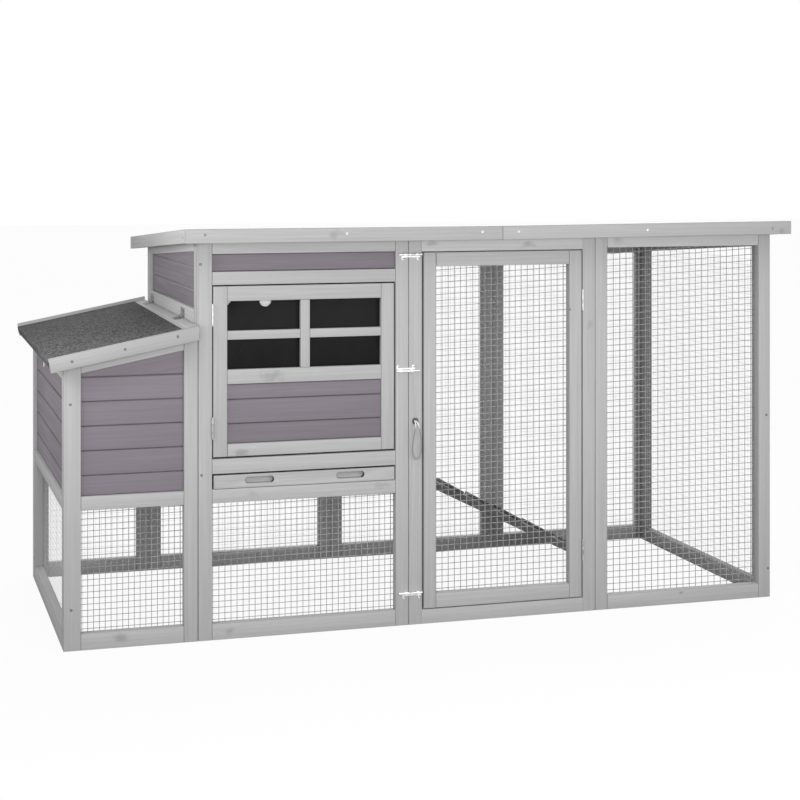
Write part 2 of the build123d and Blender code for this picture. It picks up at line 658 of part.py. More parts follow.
with BuildPart() as pane_battens:
    for span in STRIPS_X:
        timber(FRONT_WALL, span, STRIP_Z, STRIP)
    for near, far in zip(STRIPS_X, STRIPS_X[1:]):
        timber(FRONT_WALL, (near[1] + JOINT, far[0] - JOINT), (STRIP_Z[1] - STRIP_HEAD, STRIP_Z[1]), STRIP)
save(pane_battens, "pane_battens")

PANE_Y = (DOOR_FACE_T + 1.0, DOOR_FACE_T + 1.0 + PANE_T)
PANE_TOP = STRIP_Z[1] - 1.5


def pane(span, top):
    """Add one window pane with clipped top corners and a finger notch in its top edge."""
    middle = (span[0] + span[1]) / 2
    with BuildSketch(FRONT_WALL.offset(-PANE_Y[0])) as sheet:
        with Locations((middle, top - PANE_H / 2)):
            Rectangle(span[1] - span[0], PANE_H)
        chamfer(sheet.vertices().group_by(Axis.Y)[-1], PANE_CORNER)
        with Locations((middle, top)):
            Circle(PANE_NOTCH_R, mode=Mode.SUBTRACT)
    extrude(sheet.sketch, amount=-PANE_T)


with BuildPart() as window_pane_left:
    pane((inside[0] + 0.8, HOUSE_MID - 1.0), PANE_TOP - PANE_DROP)
save(window_pane_left, "window_pane_left")

with BuildPart() as window_pane_right:
    pane((HOUSE_MID + 1.0, inside[1] - 0.8), PANE_TOP)
save(window_pane_right, "window_pane_right")

# Run door: a plain frame with one net
RUN_DOOR_X = (RUN_A_OPEN[0] + DOOR_GAP, RUN_A_OPEN[1] - DOOR_GAP)
RUN_DOOR_Z = (RUN_SILL[1] + DOOR_GAP, RUN_TOP_RAIL - DOOR_GAP)
RUN_DOOR_IN_X = (RUN_DOOR_X[0] + DOOR_RAIL, RUN_DOOR_X[1] - DOOR_RAIL)
RUN_DOOR_IN_Z = (RUN_DOOR_Z[0] + 38.0, RUN_DOOR_Z[1] - 37.0)

with BuildPart() as run_door_frame:
    timber(FRONT_WALL, (RUN_DOOR_X[0], RUN_DOOR_IN_X[0]), RUN_DOOR_Z)
    timber(FRONT_WALL, (RUN_DOOR_IN_X[1], RUN_DOOR_X[1]), RUN_DOOR_Z)
    for rail in ((RUN_DOOR_Z[0], RUN_DOOR_IN_Z[0]), (RUN_DOOR_IN_Z[1], RUN_DOOR_Z[1])):
        timber(FRONT_WALL, (RUN_DOOR_IN_X[0] + JOINT, RUN_DOOR_IN_X[1] - JOINT), rail)
save(run_door_frame, "run_door_frame")

with BuildPart() as run_door_mesh:
    net(FRONT_WALL, RUN_DOOR_IN_X, RUN_DOOR_IN_Z)
save(run_door_mesh, "run_door_mesh")

# Hinges: the leaves sit in the gaps beside the doors, only the knuckles stand proud
HOUSE_PIN_X = HOUSE_OPEN[0] + DOOR_GAP / 2
RUN_PIN_X = RUN_A_OPEN[1] - DOOR_GAP / 2
HOUSE_HINGES_Z = (523.5, 803.0)
RUN_HINGES_Z = (162.5, 820.0)
LID_HINGES_Y = (222.0, 731.0)
LID_PIN_X = NEST_W - 3.6
LID_PIN_N = LID_TOP + PIN_OUT
LID_PIN_S = (3.6 - LID_PIN_N * sin(LID_SLOPE)) / cos(LID_SLOPE)
LID_PIN_Z = LID_Z - LID_PIN_S * sin(LID_SLOPE) + LID_PIN_N * cos(LID_SLOPE)
IN_GAP = (0.1, 0.1 + LEAF_T)


def pin_plane(x, z, towards):
    """A plane square to an upright hinge pin, its x axis along the leaf."""
    return Plane(origin=(LEFT + x, FRONT - PIN_OUT, z), x_dir=towards, z_dir=(0, 0, 1))


def lid_pin_plane(y, towards):
    """A plane square to the lid's hinge pin, its x axis along the leaf."""
    return Plane(origin=(LEFT + LID_PIN_X, FRONT + y, LID_PIN_Z), x_dir=towards, z_dir=(0, 1, 0))


def leaf(plane, side, inner_knuckle):
    """Add a hinge leaf: its plate, and one or two knuckles rolled round the pin."""
    third = HINGE_L / 3
    ends = [(-HINGE_L / 2, -third / 2 - 0.3), (third / 2 + 0.3, HINGE_L / 2)]
    rolls = [(-third / 2, third / 2)] if inner_knuckle else ends
    slab(plane, (PIN_OUT + 0.2, LEAF_REACH), side, (-HINGE_L / 2, HINGE_L / 2))
    for low, high in rolls:
        slab(plane, (0.0, PIN_OUT + 0.4), side, (-high, -low))
        with BuildSketch(plane.offset(low)) as roll:
            RegularPolygon(KNUCKLE_R, SIDES)
        extrude(roll.sketch, amount=high - low)
    with BuildSketch(plane.offset(-HINGE_L)) as bore:
        RegularPolygon(PIN_R + PIN_FIT, SIDES, major_radius=False)
    extrude(bore.sketch, amount=2 * HINGE_L, mode=Mode.SUBTRACT)


def pin(plane):
    """Add a hinge pin, a little longer than its knuckles."""
    with BuildSketch(plane.offset(-HINGE_L / 2 - 0.5)) as rod:
        Circle(PIN_R)
    extrude(rod.sketch, amount=HINGE_L + 1.0)


INTO_WALL = (0, 1, 0)
MIRRORED_GAP = (-IN_GAP[1], -IN_GAP[0])
WALL_LEAF = (3.6 - LEAF_T, 3.6)
LID_LEAF = (-PIN_OUT, LEAF_T - PIN_OUT)
DOWN_LID = (-cos(LID_SLOPE), 0, -sin(LID_SLOPE))

with BuildPart() as hinge_fixed_leaves:
    for z in HOUSE_HINGES_Z:
        leaf(pin_plane(HOUSE_PIN_X, z, INTO_WALL), IN_GAP, False)
    for z in RUN_HINGES_Z:
        leaf(pin_plane(RUN_PIN_X, z, INTO_WALL), MIRRORED_GAP, False)
    for y in LID_HINGES_Y:
        leaf(lid_pin_plane(y, (0, 0, 1)), WALL_LEAF, False)
save(hinge_fixed_leaves, "hinge_fixed_leaves")

with BuildPart() as house_door_leaves:
    for z in HOUSE_HINGES_Z:
        leaf(pin_plane(HOUSE_PIN_X, z, INTO_WALL), MIRRORED_GAP, True)
save(house_door_leaves, "house_door_leaves")

with BuildPart() as run_door_leaves:
    for z in RUN_HINGES_Z:
        leaf(pin_plane(RUN_PIN_X, z, INTO_WALL), IN_GAP, True)
save(run_door_leaves, "run_door_leaves")

with BuildPart() as lid_leaves:
    for y in LID_HINGES_Y:
        leaf(lid_pin_plane(y, DOWN_LID), LID_LEAF, True)
save(lid_leaves, "lid_leaves")

# Hook that ties the lid down: it hangs from a screw in the nest's end, its eye is under the lid
HOOK_X = -7.0
HOOK_Y = DEPTH / 2
HOOK_Z = 668.0
HOOK_WIRE = 1.25
HOOK_RING = 3.4
HOOK_SHANK = 17.0
HOOK_BEND = 4.0
EYE_RING = 4.0
EYE_DROP = 8.5



def ring(plane, radius, wire):
    """Add a ring of bent wire, round the plane's z axis."""
    with BuildSketch(plane.offset(-wire)) as band:
        RegularPolygon(radius + wire, 16)
        RegularPolygon(radius - wire, 16, major_radius=False, mode=Mode.SUBTRACT)
    extrude(band.sketch, amount=2 * wire)


with BuildPart() as pivot_pins:
    for z in HOUSE_HINGES_Z:
        pin(pin_plane(HOUSE_PIN_X, z, INTO_WALL))
    for z in RUN_HINGES_Z:
        pin(pin_plane(RUN_PIN_X, z, INTO_WALL))
    for y in LID_HINGES_Y:
        pin(lid_pin_plane(y, (0, 0, 1)))
    with BuildSketch(Plane(origin=(LEFT, FRONT + HOOK_Y, HOOK_Z), z_dir=(-1, 0, 0))) as shank:
        Circle(HOOK_RING - HOOK_WIRE - PIN_FIT)
    extrude(shank.sketch, amount=9.5)
    with BuildSketch(Plane(origin=(LEFT - 8.8, FRONT + HOOK_Y, HOOK_Z), z_dir=(-1, 0, 0))) as head:
        Circle(4.0)
    extrude(head.sketch, amount=2.0)
save(pivot_pins, "pivot_pins")

with BuildPart() as lid_hook:
    hook_plane = Plane(origin=(LEFT + HOOK_X, FRONT + HOOK_Y, HOOK_Z), x_dir=(0, 1, 0), z_dir=(1, 0, 0))
    ring(hook_plane, HOOK_RING, HOOK_WIRE)
    with BuildLine(hook_plane) as bend:
        Line((0, -HOOK_RING), (0, -HOOK_RING - HOOK_SHANK))
        JernArc((0, -HOOK_RING - HOOK_SHANK), (0, -1), HOOK_BEND, 180)
        Line(bend.line @ 1, (2 * HOOK_BEND, -HOOK_RING - HOOK_SHANK + 3.0))
    with BuildSketch(Plane(origin=bend.line @ 0, z_dir=bend.line % 0)) as wire:
        RegularPolygon(HOOK_WIRE, 6)
    sweep(wire.sketch, path=bend.wire())
save(lid_hook, "lid_hook")

with BuildPart() as lid_eye:
    eye_z = lid_z(HOOK_X) - EYE_DROP
    ring(Plane(origin=(LEFT + HOOK_X, FRONT + HOOK_Y, eye_z), z_dir=(0, 1, 0)), EYE_RING, HOOK_WIRE)
    with BuildSketch(Plane(origin=(LEFT + HOOK_X, FRONT + HOOK_Y, eye_z + EYE_RING))) as stem:
        RegularPolygon(HOOK_WIRE, 6)
    extrude(stem.sketch, amount=EYE_DROP - EYE_RING + 2.0)
    split(bisect_by=LID, keep=Keep.BOTTOM)
save(lid_eye, "lid_eye")

# Tower bolts: a strip with two screw ears and two straps, and a rod with a knob
EAR_R = 4.5
EAR_DROP = 10.3
STRIP_B = (-7.5, -3.5)
STRAP_FIT = 0.3
KNOB_R = 2.0
BOLTS = {
    "house_bolt_rod": (888.0, 649.0, -1, 51.0),
    "run_top_bolt_rod": (851.0, 946.0, 1, 55.0),
    "run_bottom_bolt_rod": (854.0, 82.0, 1, 52.0),
}


def bolt_plane(x, z, direction):
    """The plane that a bolt is screwed to, its x axis along the way the bolt shoots."""
    return Plane(origin=(LEFT + x, FRONT, z), x_dir=(direction, 0, 0), z_dir=(0, -1, 0))


def across_bolt(plane, along):
    """The plane square to a bolt's rod: x across the rod, y outwards."""
    return Plane(origin=plane.from_local_coords((along, 0, 0)), x_dir=plane.y_dir, z_dir=plane.x_dir)


with BuildPart() as bolt_bodies:
    for x, z, direction, tip in BOLTS.values():
        plane = bolt_plane(x, z, direction)
        slab(plane, (0.0, BOLT_L), STRIP_B, (-1.2, 0.0))
        for along in (EAR_R, BOLT_L - EAR_R):
            with BuildSketch(plane) as ear:
                with Locations((along, -EAR_DROP)):
                    RegularPolygon(EAR_R, SIDES)
                with Locations((along, -EAR_DROP / 2 - 2.0)):
                    Rectangle(2 * EAR_R, EAR_DROP - 4.0)
                with Locations((along, -EAR_DROP)):
                    RegularPolygon(1.6, 8, mode=Mode.SUBTRACT)
            extrude(ear.sketch, amount=1.2)
        for along in (5.0, BOLT_L - 5.0 - STRAP_L):
            with BuildSketch(across_bolt(plane, along)) as strap:
                with Locations((0, ROD_OUT)):
                    RegularPolygon(STRAP_R, SIDES)
                with Locations((0, ROD_OUT / 2)):
                    Rectangle(2 * STRAP_R, ROD_OUT)
                with Locations((0, ROD_OUT)):
                    RegularPolygon(ROD_R + STRAP_FIT, SIDES, mode=Mode.SUBTRACT)
            extrude(strap.sketch, amount=STRAP_L)
save(bolt_bodies, "bolt_bodies")

for label, (x, z, direction, tip) in BOLTS.items():
    plane = bolt_plane(x, z, direction)
    with BuildPart() as bolt_rod:
        with BuildSketch(across_bolt(plane, tip - ROD_L)) as section:
            with Locations((0, ROD_OUT)):
                RegularPolygon(ROD_R, SIDES)
        extrude(section.sketch, amount=ROD_L)
        with BuildSketch(plane.offset(ROD_OUT)) as knob:
            with Locations((20.0, 0)):
                RegularPolygon(KNOB_R, 8)
        extrude(knob.sketch, amount=9.0)
    save(bolt_rod, label)

# Cord that lifts the pop door: a loop outside, through the guide, up to the eye, down to the door
CORD_EYE_X = 8.0
CORD_EYES_Y = (50.0, 650.0)
CORD_EYE_Z = 928.0
CORD_EYE_RING = 5.6
CORD_EYE_WIRE = 1.3
CORD_DROP_Z = 905.0
CORD_BEND = 6.5
STRAND = 2.0
SWAY = 0.02


def cord(points, widest):
    """Add a cord through the points, its bends as wide as the runs beside them allow."""
    places = [Vector(*point) for point in points]
    radii = []
    for before, here, after in zip(places, places[1:], places[2:]):
        turn = radians((here - before).get_angle(after - here))
        shorter = min((here - before).length, (after - here).length)
        radii.append(min(widest, 0.45 * shorter / tan(turn / 2)))
    print("cord radii", [round(radius, 1) for radius in radii])
    with BuildLine() as route:
        if radii:
            FilletPolyline(*places, radius=radii)
        else:
            Line(*places)
    with BuildSketch(Plane(origin=places[0], z_dir=places[1] - places[0])) as section:
        RegularPolygon(CORD_R, 6)
    sweep(section.sketch, path=route.wire())


with BuildPart() as cord_eyes:
    guide_plane = Plane(origin=(LEFT + CORD_X, FRONT, CORD_Z), z_dir=(0, -1, 0))
    for radius, near, far in ((8.0, 0.0, 3.0), (GUIDE_TUBE_R, -T, 0.0)):
        with BuildSketch(guide_plane.offset(near)) as collar:
            RegularPolygon(radius, 16)
            RegularPolygon(GUIDE_TUBE_R - 0.7, 16, mode=Mode.SUBTRACT)
        extrude(collar.sketch, amount=far - near)
    for y in CORD_EYES_Y:
        root = (LEFT + HOUSE_X, FRONT + y, CORD_EYE_Z)
        eye_plane = Plane(origin=(root[0] + CORD_EYE_X, root[1], root[2]), z_dir=(0, 1, 0))
        ring(eye_plane, CORD_EYE_RING, CORD_EYE_WIRE)
        with BuildSketch(Plane(origin=root, z_dir=(1, 0, 0))) as stem:
            RegularPolygon(CORD_EYE_WIRE, 6)
        extrude(stem.sketch, amount=CORD_EYE_X - CORD_EYE_RING)
save(cord_eyes, "cord_eyes")

# The loop's strands from the guide down: sideways, outwards and downwards from the guide's middle
STRAND_DOWN = [
    (STRAND, 1.0, 0.0),
    (STRAND + 0.3, -12.0, -0.5),
    (4.6, -19.0, -12.0),
    (9.0, -17.0, -33.0),
    (12.0, -12.5, -61.0),
    (10.5, -9.5, -84.0),
    (4.2, -9.0, -96.0),
]
LOOP = [(-side - SWAY * down, out, down) for side, out, down in STRAND_DOWN]
LOOP += [(side - SWAY * down, out, down) for side, out, down in reversed(STRAND_DOWN)]

with BuildPart() as cord_loop:
    cord([(LEFT + CORD_X + side, FRONT + out, CORD_Z + down) for side, out, down in LOOP], 200.0)
save(cord_loop, "cord_loop")

EYE_X = LEFT + HOUSE_X + CORD_EYE_X
DROP_Y = FRONT + CORD_EYES_Y[1] + 8.0
with BuildPart() as cord_run:
    cord(
        [
            (LEFT + CORD_X, FRONT + T + 0.5, CORD_Z),
            (LEFT + CORD_X, FRONT + CORD_EYES_Y[0] - 12.0, CORD_Z),
            (EYE_X, FRONT + CORD_EYES_Y[0] - 12.0, CORD_EYE_Z),
            (EYE_X, DROP_Y, CORD_EYE_Z),
            (EYE_X, DROP_Y, CORD_DROP_Z),
        ],
        CORD_BEND,
    )
save(cord_run, "cord_run")

with BuildPart() as cord_drop:
    cord([(EYE_X, DROP_Y, CORD_DROP_Z), (EYE_X, DROP_Y, POP_DOOR_Z[1])], CORD_BEND)
save(cord_drop, "cord_drop")
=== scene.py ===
import random
from math import radians

import bpy
import numpy as np
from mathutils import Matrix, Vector


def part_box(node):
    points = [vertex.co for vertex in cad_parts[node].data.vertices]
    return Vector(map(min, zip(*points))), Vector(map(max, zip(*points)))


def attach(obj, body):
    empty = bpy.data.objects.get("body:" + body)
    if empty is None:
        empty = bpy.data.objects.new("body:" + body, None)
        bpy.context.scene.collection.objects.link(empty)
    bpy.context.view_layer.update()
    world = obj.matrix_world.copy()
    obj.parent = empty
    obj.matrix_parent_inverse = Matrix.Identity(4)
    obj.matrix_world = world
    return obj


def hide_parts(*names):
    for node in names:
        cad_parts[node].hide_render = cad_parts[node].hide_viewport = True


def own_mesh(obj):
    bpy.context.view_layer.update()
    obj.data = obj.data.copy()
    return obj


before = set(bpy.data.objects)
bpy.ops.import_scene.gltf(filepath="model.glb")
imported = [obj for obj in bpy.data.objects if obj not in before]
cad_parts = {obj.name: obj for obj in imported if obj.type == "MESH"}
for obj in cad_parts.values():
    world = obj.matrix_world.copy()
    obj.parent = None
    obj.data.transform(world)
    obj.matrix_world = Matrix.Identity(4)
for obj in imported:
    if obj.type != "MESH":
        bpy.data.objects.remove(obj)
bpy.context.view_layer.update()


# Camera: it stands off the nest box end, a little above the roof, and looks level, with the
# picture shifted down, so that upright timber stays upright in the picture.
camera_place = (-1.4003, -4.7461, 1.1749)
camera_turn = (radians(90), 0, radians(-16.764))
bpy.ops.object.select_all(action="DESELECT")
bpy.ops.object.camera_add(location=camera_place, rotation=camera_turn)
camera = bpy.context.object
camera.name = "view_camera"
camera.data.lens = 79.542
camera.data.sensor_width = 36.0
camera.data.shift_y = -0.2941
camera.data.clip_end = 200.0
bpy.context.scene.camera = camera
bpy.context.scene.view_settings.view_transform = "Standard"


# Studio floor: a wide pale sheet under the coop. It looks white, keeps a faint shadow,
# and throws back less light than it shows, so that the run stays shaded under its roof.
floor_size, floor_level = 60.0, -0.0002
floor_bounce = (0.38, 0.38, 0.38, 1)
floor_shade = (0.85, 0.85, 0.85, 1)
shadow_share = 0.07


def set_inputs(node, inputs):
    """Set a node's inputs to values, or link them to other nodes' sockets."""
    for socket, value in inputs.items():
        if isinstance(value, bpy.types.NodeSocket):
            node.id_data.links.new(value, node.inputs[socket])
        else:
            node.inputs[socket].default_value = value


def add_node(tree, kind, inputs, **settings):
    """Add a shader node of a kind, with its settings and inputs."""
    node = tree.nodes.new("ShaderNode" + kind)
    for name, value in settings.items():
        setattr(node, name, value)
    set_inputs(node, inputs)
    return node


def looked_at(tree):
    """1 for what the camera sees, itself or by gloss or through a pane, and 0 for light alone."""
    rays = add_node(tree, "LightPath", {}).outputs
    seen = rays["Is Camera Ray"]
    for way in ("Is Glossy Ray", "Is Transmission Ray"):
        seen = add_node(tree, "Math", {0: seen, 1: rays[way]}, operation="MAXIMUM").outputs[0]
    return seen


bpy.ops.mesh.primitive_plane_add(size=floor_size, location=(0, 0, floor_level))
floor = bpy.context.object
floor.name = "studio_floor"
floor_paint = bpy.data.materials.new("pale_studio_floor")
floor_paint.use_nodes = True
tree = floor_paint.node_tree
tree.nodes.clear()
white = add_node(tree, "Emission", {}).outputs[0]
shade = add_node(tree, "BsdfDiffuse", {"Color": floor_shade}).outputs[0]
bounce = add_node(tree, "BsdfDiffuse", {"Color": floor_bounce}).outputs[0]
faint = add_node(tree, "MixShader", {"Fac": shadow_share, 1: white, 2: shade}).outputs[0]
pick = add_node(tree, "MixShader", {"Fac": looked_at(tree), 1: bounce, 2: faint}).outputs[0]
add_node(tree, "OutputMaterial", {"Surface": pick})
floor.data.materials.append(floor_paint)


# Studio light: a wide soft box low in front and one behind, smaller ones off both ends and over
# the nest lid for the house's end, a broad lamp high in front and one behind, in an even surround
# that is white to look at and weaker as light.
for name, place, turn, width, height, power in (
    ("front_soft_box", (0.00, -2.25, 0.82), (90, 0, 0), 3.4, 1.0, 29.0),
    ("end_soft_box", (-2.60, -1.20, 0.95), (88, 0, -54), 1.4, 1.1, 6.3),
    ("lid_soft_box", (-1.45, -0.50, 1.05), (112, 0, -68), 0.5, 0.4, 4.6),
    ("back_soft_box", (0.55, 2.25, 0.82), (-90, 0, 0), 2.0, 1.0, 9.0),
    ("run_end_soft_box", (2.60, 0.20, 0.95), (90, 0, 90), 1.4, 1.1, 5.0),
):
    turned = [radians(angle) for angle in turn]
    bpy.ops.object.light_add(type="AREA", location=place, rotation=turned)
    lamp = bpy.context.object
    lamp.name = name
    lamp.data.shape = "RECTANGLE"
    lamp.data.size = width
    lamp.data.size_y = height
    lamp.data.energy = power
    lamp.visible_camera = False
for name, turn, strength, breadth in (
    ("high_front_lamp", (26, 0, -20), 0.80, 40), ("back_lamp", (50, 0, 150), 0.9, 60),
):
    turned = [radians(angle) for angle in turn]
    bpy.ops.object.light_add(type="SUN", location=(0, 0, 4), rotation=turned)
    lamp = bpy.context.object
    lamp.name = name
    lamp.data.energy = strength
    lamp.data.angle = radians(breadth)
weaker_light, plain_white = (0.34, 0.34, 0.34, 1), (1, 1, 1, 1)
surround = bpy.data.worlds.new("pale_surround")
surround.use_nodes = True
tree = surround.node_tree
tree.nodes.clear()
soft = add_node(tree, "Background", {"Color": weaker_light}).outputs[0]
white = add_node(tree, "Background", {"Color": plain_white}).outputs[0]
pick = add_node(tree, "MixShader", {"Fac": looked_at(tree), 1: soft, 2: white}).outputs[0]
add_node(tree, "OutputWorld", {"Surface": pick})
bpy.context.scene.world = surround


# Panel frames: planed fir sticks, 35 by 24 mm, butted and stapled, then painted light grey by
# roller before the panels are screwed together. The planer leaves the long edges eased.
across, deep, upright = range(3)
near_edge = 0.0012
made = {}


def take_up(piece):
    """Select one piece alone."""
    bpy.ops.object.select_all(action="DESELECT")
    bpy.context.view_layer.objects.active = piece
    piece.select_set(True)


def eased_copy(node, edge):
    """The node's shape as a new piece, its triangles joined to flat faces, its edges rounded."""
    same_place, flat, sharp, smooth = 0.00001, radians(0.4), radians(28), radians(32)
    piece = bpy.data.objects.new(node + "_made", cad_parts[node].data.copy())
    bpy.context.scene.collection.objects.link(piece)
    take_up(piece)
    bpy.ops.object.mode_set(mode="EDIT")
    bpy.ops.mesh.select_all(action="SELECT")
    bpy.ops.mesh.remove_doubles(threshold=same_place)
    bpy.ops.mesh.dissolve_limited(angle_limit=flat)
    bpy.ops.object.mode_set(mode="OBJECT")
    rounding = piece.modifiers.new("eased_edges", "BEVEL")
    rounding.width = edge
    rounding.segments = 2
    rounding.limit_method = "ANGLE"
    rounding.angle_limit = sharp
    bpy.ops.object.modifier_apply(modifier="eased_edges")
    bpy.ops.object.shade_smooth_by_angle(angle=smooth)
    made[node] = piece
    return piece


def pick_corners(piece, numbers):
    """Open a piece for editing with only these corners picked."""
    take_up(piece)
    bpy.ops.object.mode_set(mode="EDIT")
    bpy.ops.mesh.select_all(action="DESELECT")
    bpy.ops.object.mode_set(mode="OBJECT")
    for number in numbers:
        piece.data.vertices[number].select = True
    bpy.ops.object.mode_set(mode="EDIT")


def corners_where(piece, wanted):
    """The numbers of the corners whose place is wanted."""
    return [corner.index for corner in piece.data.vertices if wanted(corner.co)]


def shift_corners(piece, wanted, move):
    """Move the corners whose place is wanted."""
    pick_corners(piece, corners_where(piece, wanted))
    bpy.ops.transform.translate(value=move)
    bpy.ops.object.mode_set(mode="OBJECT")


def set_back(piece, axis, edge, by):
    """Move what lies at one height, width or depth: an edge planed back, a slot cut deeper."""
    move = [by if way == axis else 0.0 for way in range(3)]
    shift_corners(piece, lambda place: abs(place[axis] - edge) < near_edge, move)


def lay_grain(piece, tones=()):
    """Store each stick's own length and section as coordinates, its tone from the top down,
    which paints light and shade onto the sticks by their height, and its eased edges."""
    square_on, off_flat = 0.3, 0.985
    along_log, into_log = 40, 9
    mesh = piece.data
    places = np.array([corner.co for corner in mesh.vertices])
    joined = [[] for _ in mesh.vertices]
    for edge in mesh.edges:
        first, second = edge.vertices
        joined[first].append(second)
        joined[second].append(first)
    stick_of = np.full(len(places), -1)
    sticks = []
    for start in range(len(places)):
        if stick_of[start] >= 0:
            continue
        stick_of[start] = len(sticks)
        members = [start]
        for here in members:
            for other in joined[here]:
                if stick_of[other] < 0:
                    stick_of[other] = len(sticks)
                    members.append(other)
        sticks.append(members)
    flats = [[] for _ in sticks]
    for face in sorted(mesh.polygons, key=lambda face: -face.area):
        flats[stick_of[face.vertices[0]]].append(face)
    grain = np.zeros((len(places), 3))
    worn = np.zeros(len(mesh.loops))
    tone = np.ones(len(mesh.loops))
    heights = [places[members][:, upright].mean() for members in sticks]
    from_the_top = sorted(range(len(sticks)), key=lambda number: -heights[number])
    for number, share in zip(from_the_top, tones):
        for face in flats[number]:
            tone[list(face.loop_indices)] = share
    dice = random.Random(piece.name)
    for members, faces in zip(sticks, flats):
        normals = [np.array(face.normal) for face in faces]
        first = normals[0]
        second = next(normal for normal in normals if abs(first @ normal) < square_on)
        second = second - first * (first @ second)
        second = second / np.linalg.norm(second)
        axes = np.array([first, second, np.cross(first, second)]).T
        axes = axes * np.sign(axes[np.abs(axes).argmax(axis=0), range(3)])
        axes = axes[:, np.argsort(-np.ptp(places[members] @ axes, axis=0))]
        middle = places[members].mean(axis=0)
        chance = [dice.uniform(0, reach) for reach in (along_log, into_log, into_log)]
        grain[members] = (places[members] - middle) @ axes + chance
        for face, normal in zip(faces, normals):
            if np.abs(axes.T @ normal).max() < off_flat:
                worn[list(face.loop_indices)] = 1.0
    for name, kind, domain, field, values in (
        ("grain", "FLOAT_VECTOR", "POINT", "vector", grain.ravel()),
        ("worn", "FLOAT", "CORNER", "value", worn), ("tone", "FLOAT", "CORNER", "value", tone),
    ):
        mesh.attributes.new(name, kind, domain).data.foreach_set(field, values)


def new_finish(name):
    """A finish, with its node tree and its shader."""
    finish = bpy.data.materials.new(name)
    finish.use_nodes = True
    return finish, finish.node_tree, finish.node_tree.nodes["Principled BSDF"]


def own_place(tree):
    """The place on the object, in metres."""
    return add_node(tree, "TexCoord", {}).outputs["Object"]


def clouds(tree, place, scale, detail, warp=0.0):
    """Cloudy shading over a place, from 0 to 1."""
    inputs = {"Vector": place, "Scale": scale, "Detail": detail, "Distortion": warp}
    return add_node(tree, "TexNoise", inputs).outputs["Fac"]


def spread(tree, value, low, high, to_low=0.0, to_high=1.0):
    """Spread the range of a value over another range."""
    return add_node(tree, "MapRange", {
        "Value": value, "From Min": low, "From Max": high, "To Min": to_low, "To Max": to_high,
    }).outputs["Result"]


def blend(tree, share, first, second, how="MIX"):
    """Lay a share of a second colour over a first one."""
    first, second = ((*tone, 1) if isinstance(tone, tuple) else tone for tone in (first, second))
    inputs = {0: share, 6: first, 7: second}
    return add_node(tree, "Mix", inputs, data_type="RGBA", blend_type=how).outputs[2]


def scaled(tree, tone, by):
    """A colour made darker or lighter by a value."""
    return add_node(tree, "VectorMath", {0: tone, "Scale": by}, operation="SCALE").outputs["Vector"]


def relief(tree, height, strength, depth):
    """A fine relief from a value."""
    inputs = {"Height": height, "Strength": strength, "Distance": depth}
    return add_node(tree, "Bump", inputs).outputs["Normal"]


def wood_finish(
    name, dark, light, knot, edge, grain_depth, knot_share, ring_share, edge_share=0.35,
    knots_at=(),
):
    """Paint or stain on fir: streaks and rings along each stick, fine fibre, a few knots,
    and eased edges in a tone of their own, lighter for wear, darker as painted shade of the seams."""
    cloud_range, ring_range, fibre_range = (0.3, 0.7), (0.55, 1.0), (0.50, 0.72)
    patch_range, knot_range, ragged_range = (0.58, 0.80), (0.11, 0.03), (1.15, 0.15)
    fibre_share, patch_share, raggedness, knot_depth = 0.45, 0.40, 0.45, 0.03
    finish, tree, shader = new_finish(name)

    def stored(values):
        return add_node(tree, "Attribute", {}, attribute_name=values).outputs

    def stretched(along, aside):
        inputs = {"Vector": grain, "Scale": (along, aside, aside)}
        return add_node(tree, "Mapping", inputs).outputs["Vector"]

    grain = stored("grain")["Vector"]
    streaks = clouds(tree, stretched(along=1.2, aside=55.0), scale=3.0, detail=4.0, warp=0.5)
    fibre = clouds(tree, stretched(along=9.0, aside=520.0), scale=2.0, detail=3.0)
    patches = clouds(tree, stretched(along=3.0, aside=7.0), scale=2.0, detail=3.0)
    wave = {"Scale": 3.2, "Distortion": 7.0, "Detail": 3.0, "Detail Scale": 1.3}
    wave["Vector"] = stretched(along=0.55, aside=13.0)
    rings = add_node(tree, "TexWave", wave, wave_type="BANDS", bands_direction="Y").outputs["Fac"]
    knot_place = stretched(along=1.1, aside=5.5)
    knots = add_node(tree, "TexVoronoi", {"Vector": knot_place, "Scale": 1.0}).outputs["Distance"]
    tone = blend(tree, spread(tree, streaks, *cloud_range), dark, light)
    for values, seen, share, colour in (
        (rings, ring_range, ring_share, dark), (fibre, fibre_range, fibre_share, dark),
        (patches, patch_range, patch_share, dark), (knots, knot_range, knot_share, knot),
    ):
        tone = blend(tree, spread(tree, values, *seen, 0.0, share), tone, colour)
    if knots_at:
        place = own_place(tree)
        swirl = clouds(tree, place, scale=60.0, detail=3.0)
        swirl = spread(tree, swirl, *cloud_range, -raggedness, raggedness)
        for x, y, z, wide, high, share in knots_at:
            near = add_node(tree, "Mapping", {
                "Vector": place, "Location": (-x / wide, -y / knot_depth, -z / high),
                "Scale": (1 / wide, 1 / knot_depth, 1 / high),
            }).outputs["Vector"]
            reach = add_node(tree, "VectorMath", {0: near}, operation="LENGTH").outputs["Value"]
            ragged = add_node(tree, "Math", {0: reach, 1: swirl}, operation="ADD").outputs["Value"]
            tone = blend(tree, spread(tree, ragged, *ragged_range, 0.0, share), tone, knot)
    # Eased edges: a lighter edge tone is wear, a darker one is painted shade of the seams between
    # sticks.
    tone = blend(tree, spread(tree, stored("worn")["Fac"], 0.0, 1.0, 0.0, edge_share), tone, edge)
    set_inputs(shader, {
        "Base Color": scaled(tree, tone, stored("tone")["Fac"]),
        "Roughness": spread(tree, streaks, *cloud_range, to_low=0.72, to_high=0.58),
        "Specular IOR Level": 0.28,
        "Normal": relief(tree, fibre, strength=grain_depth, depth=0.0006),
    })
    return finish


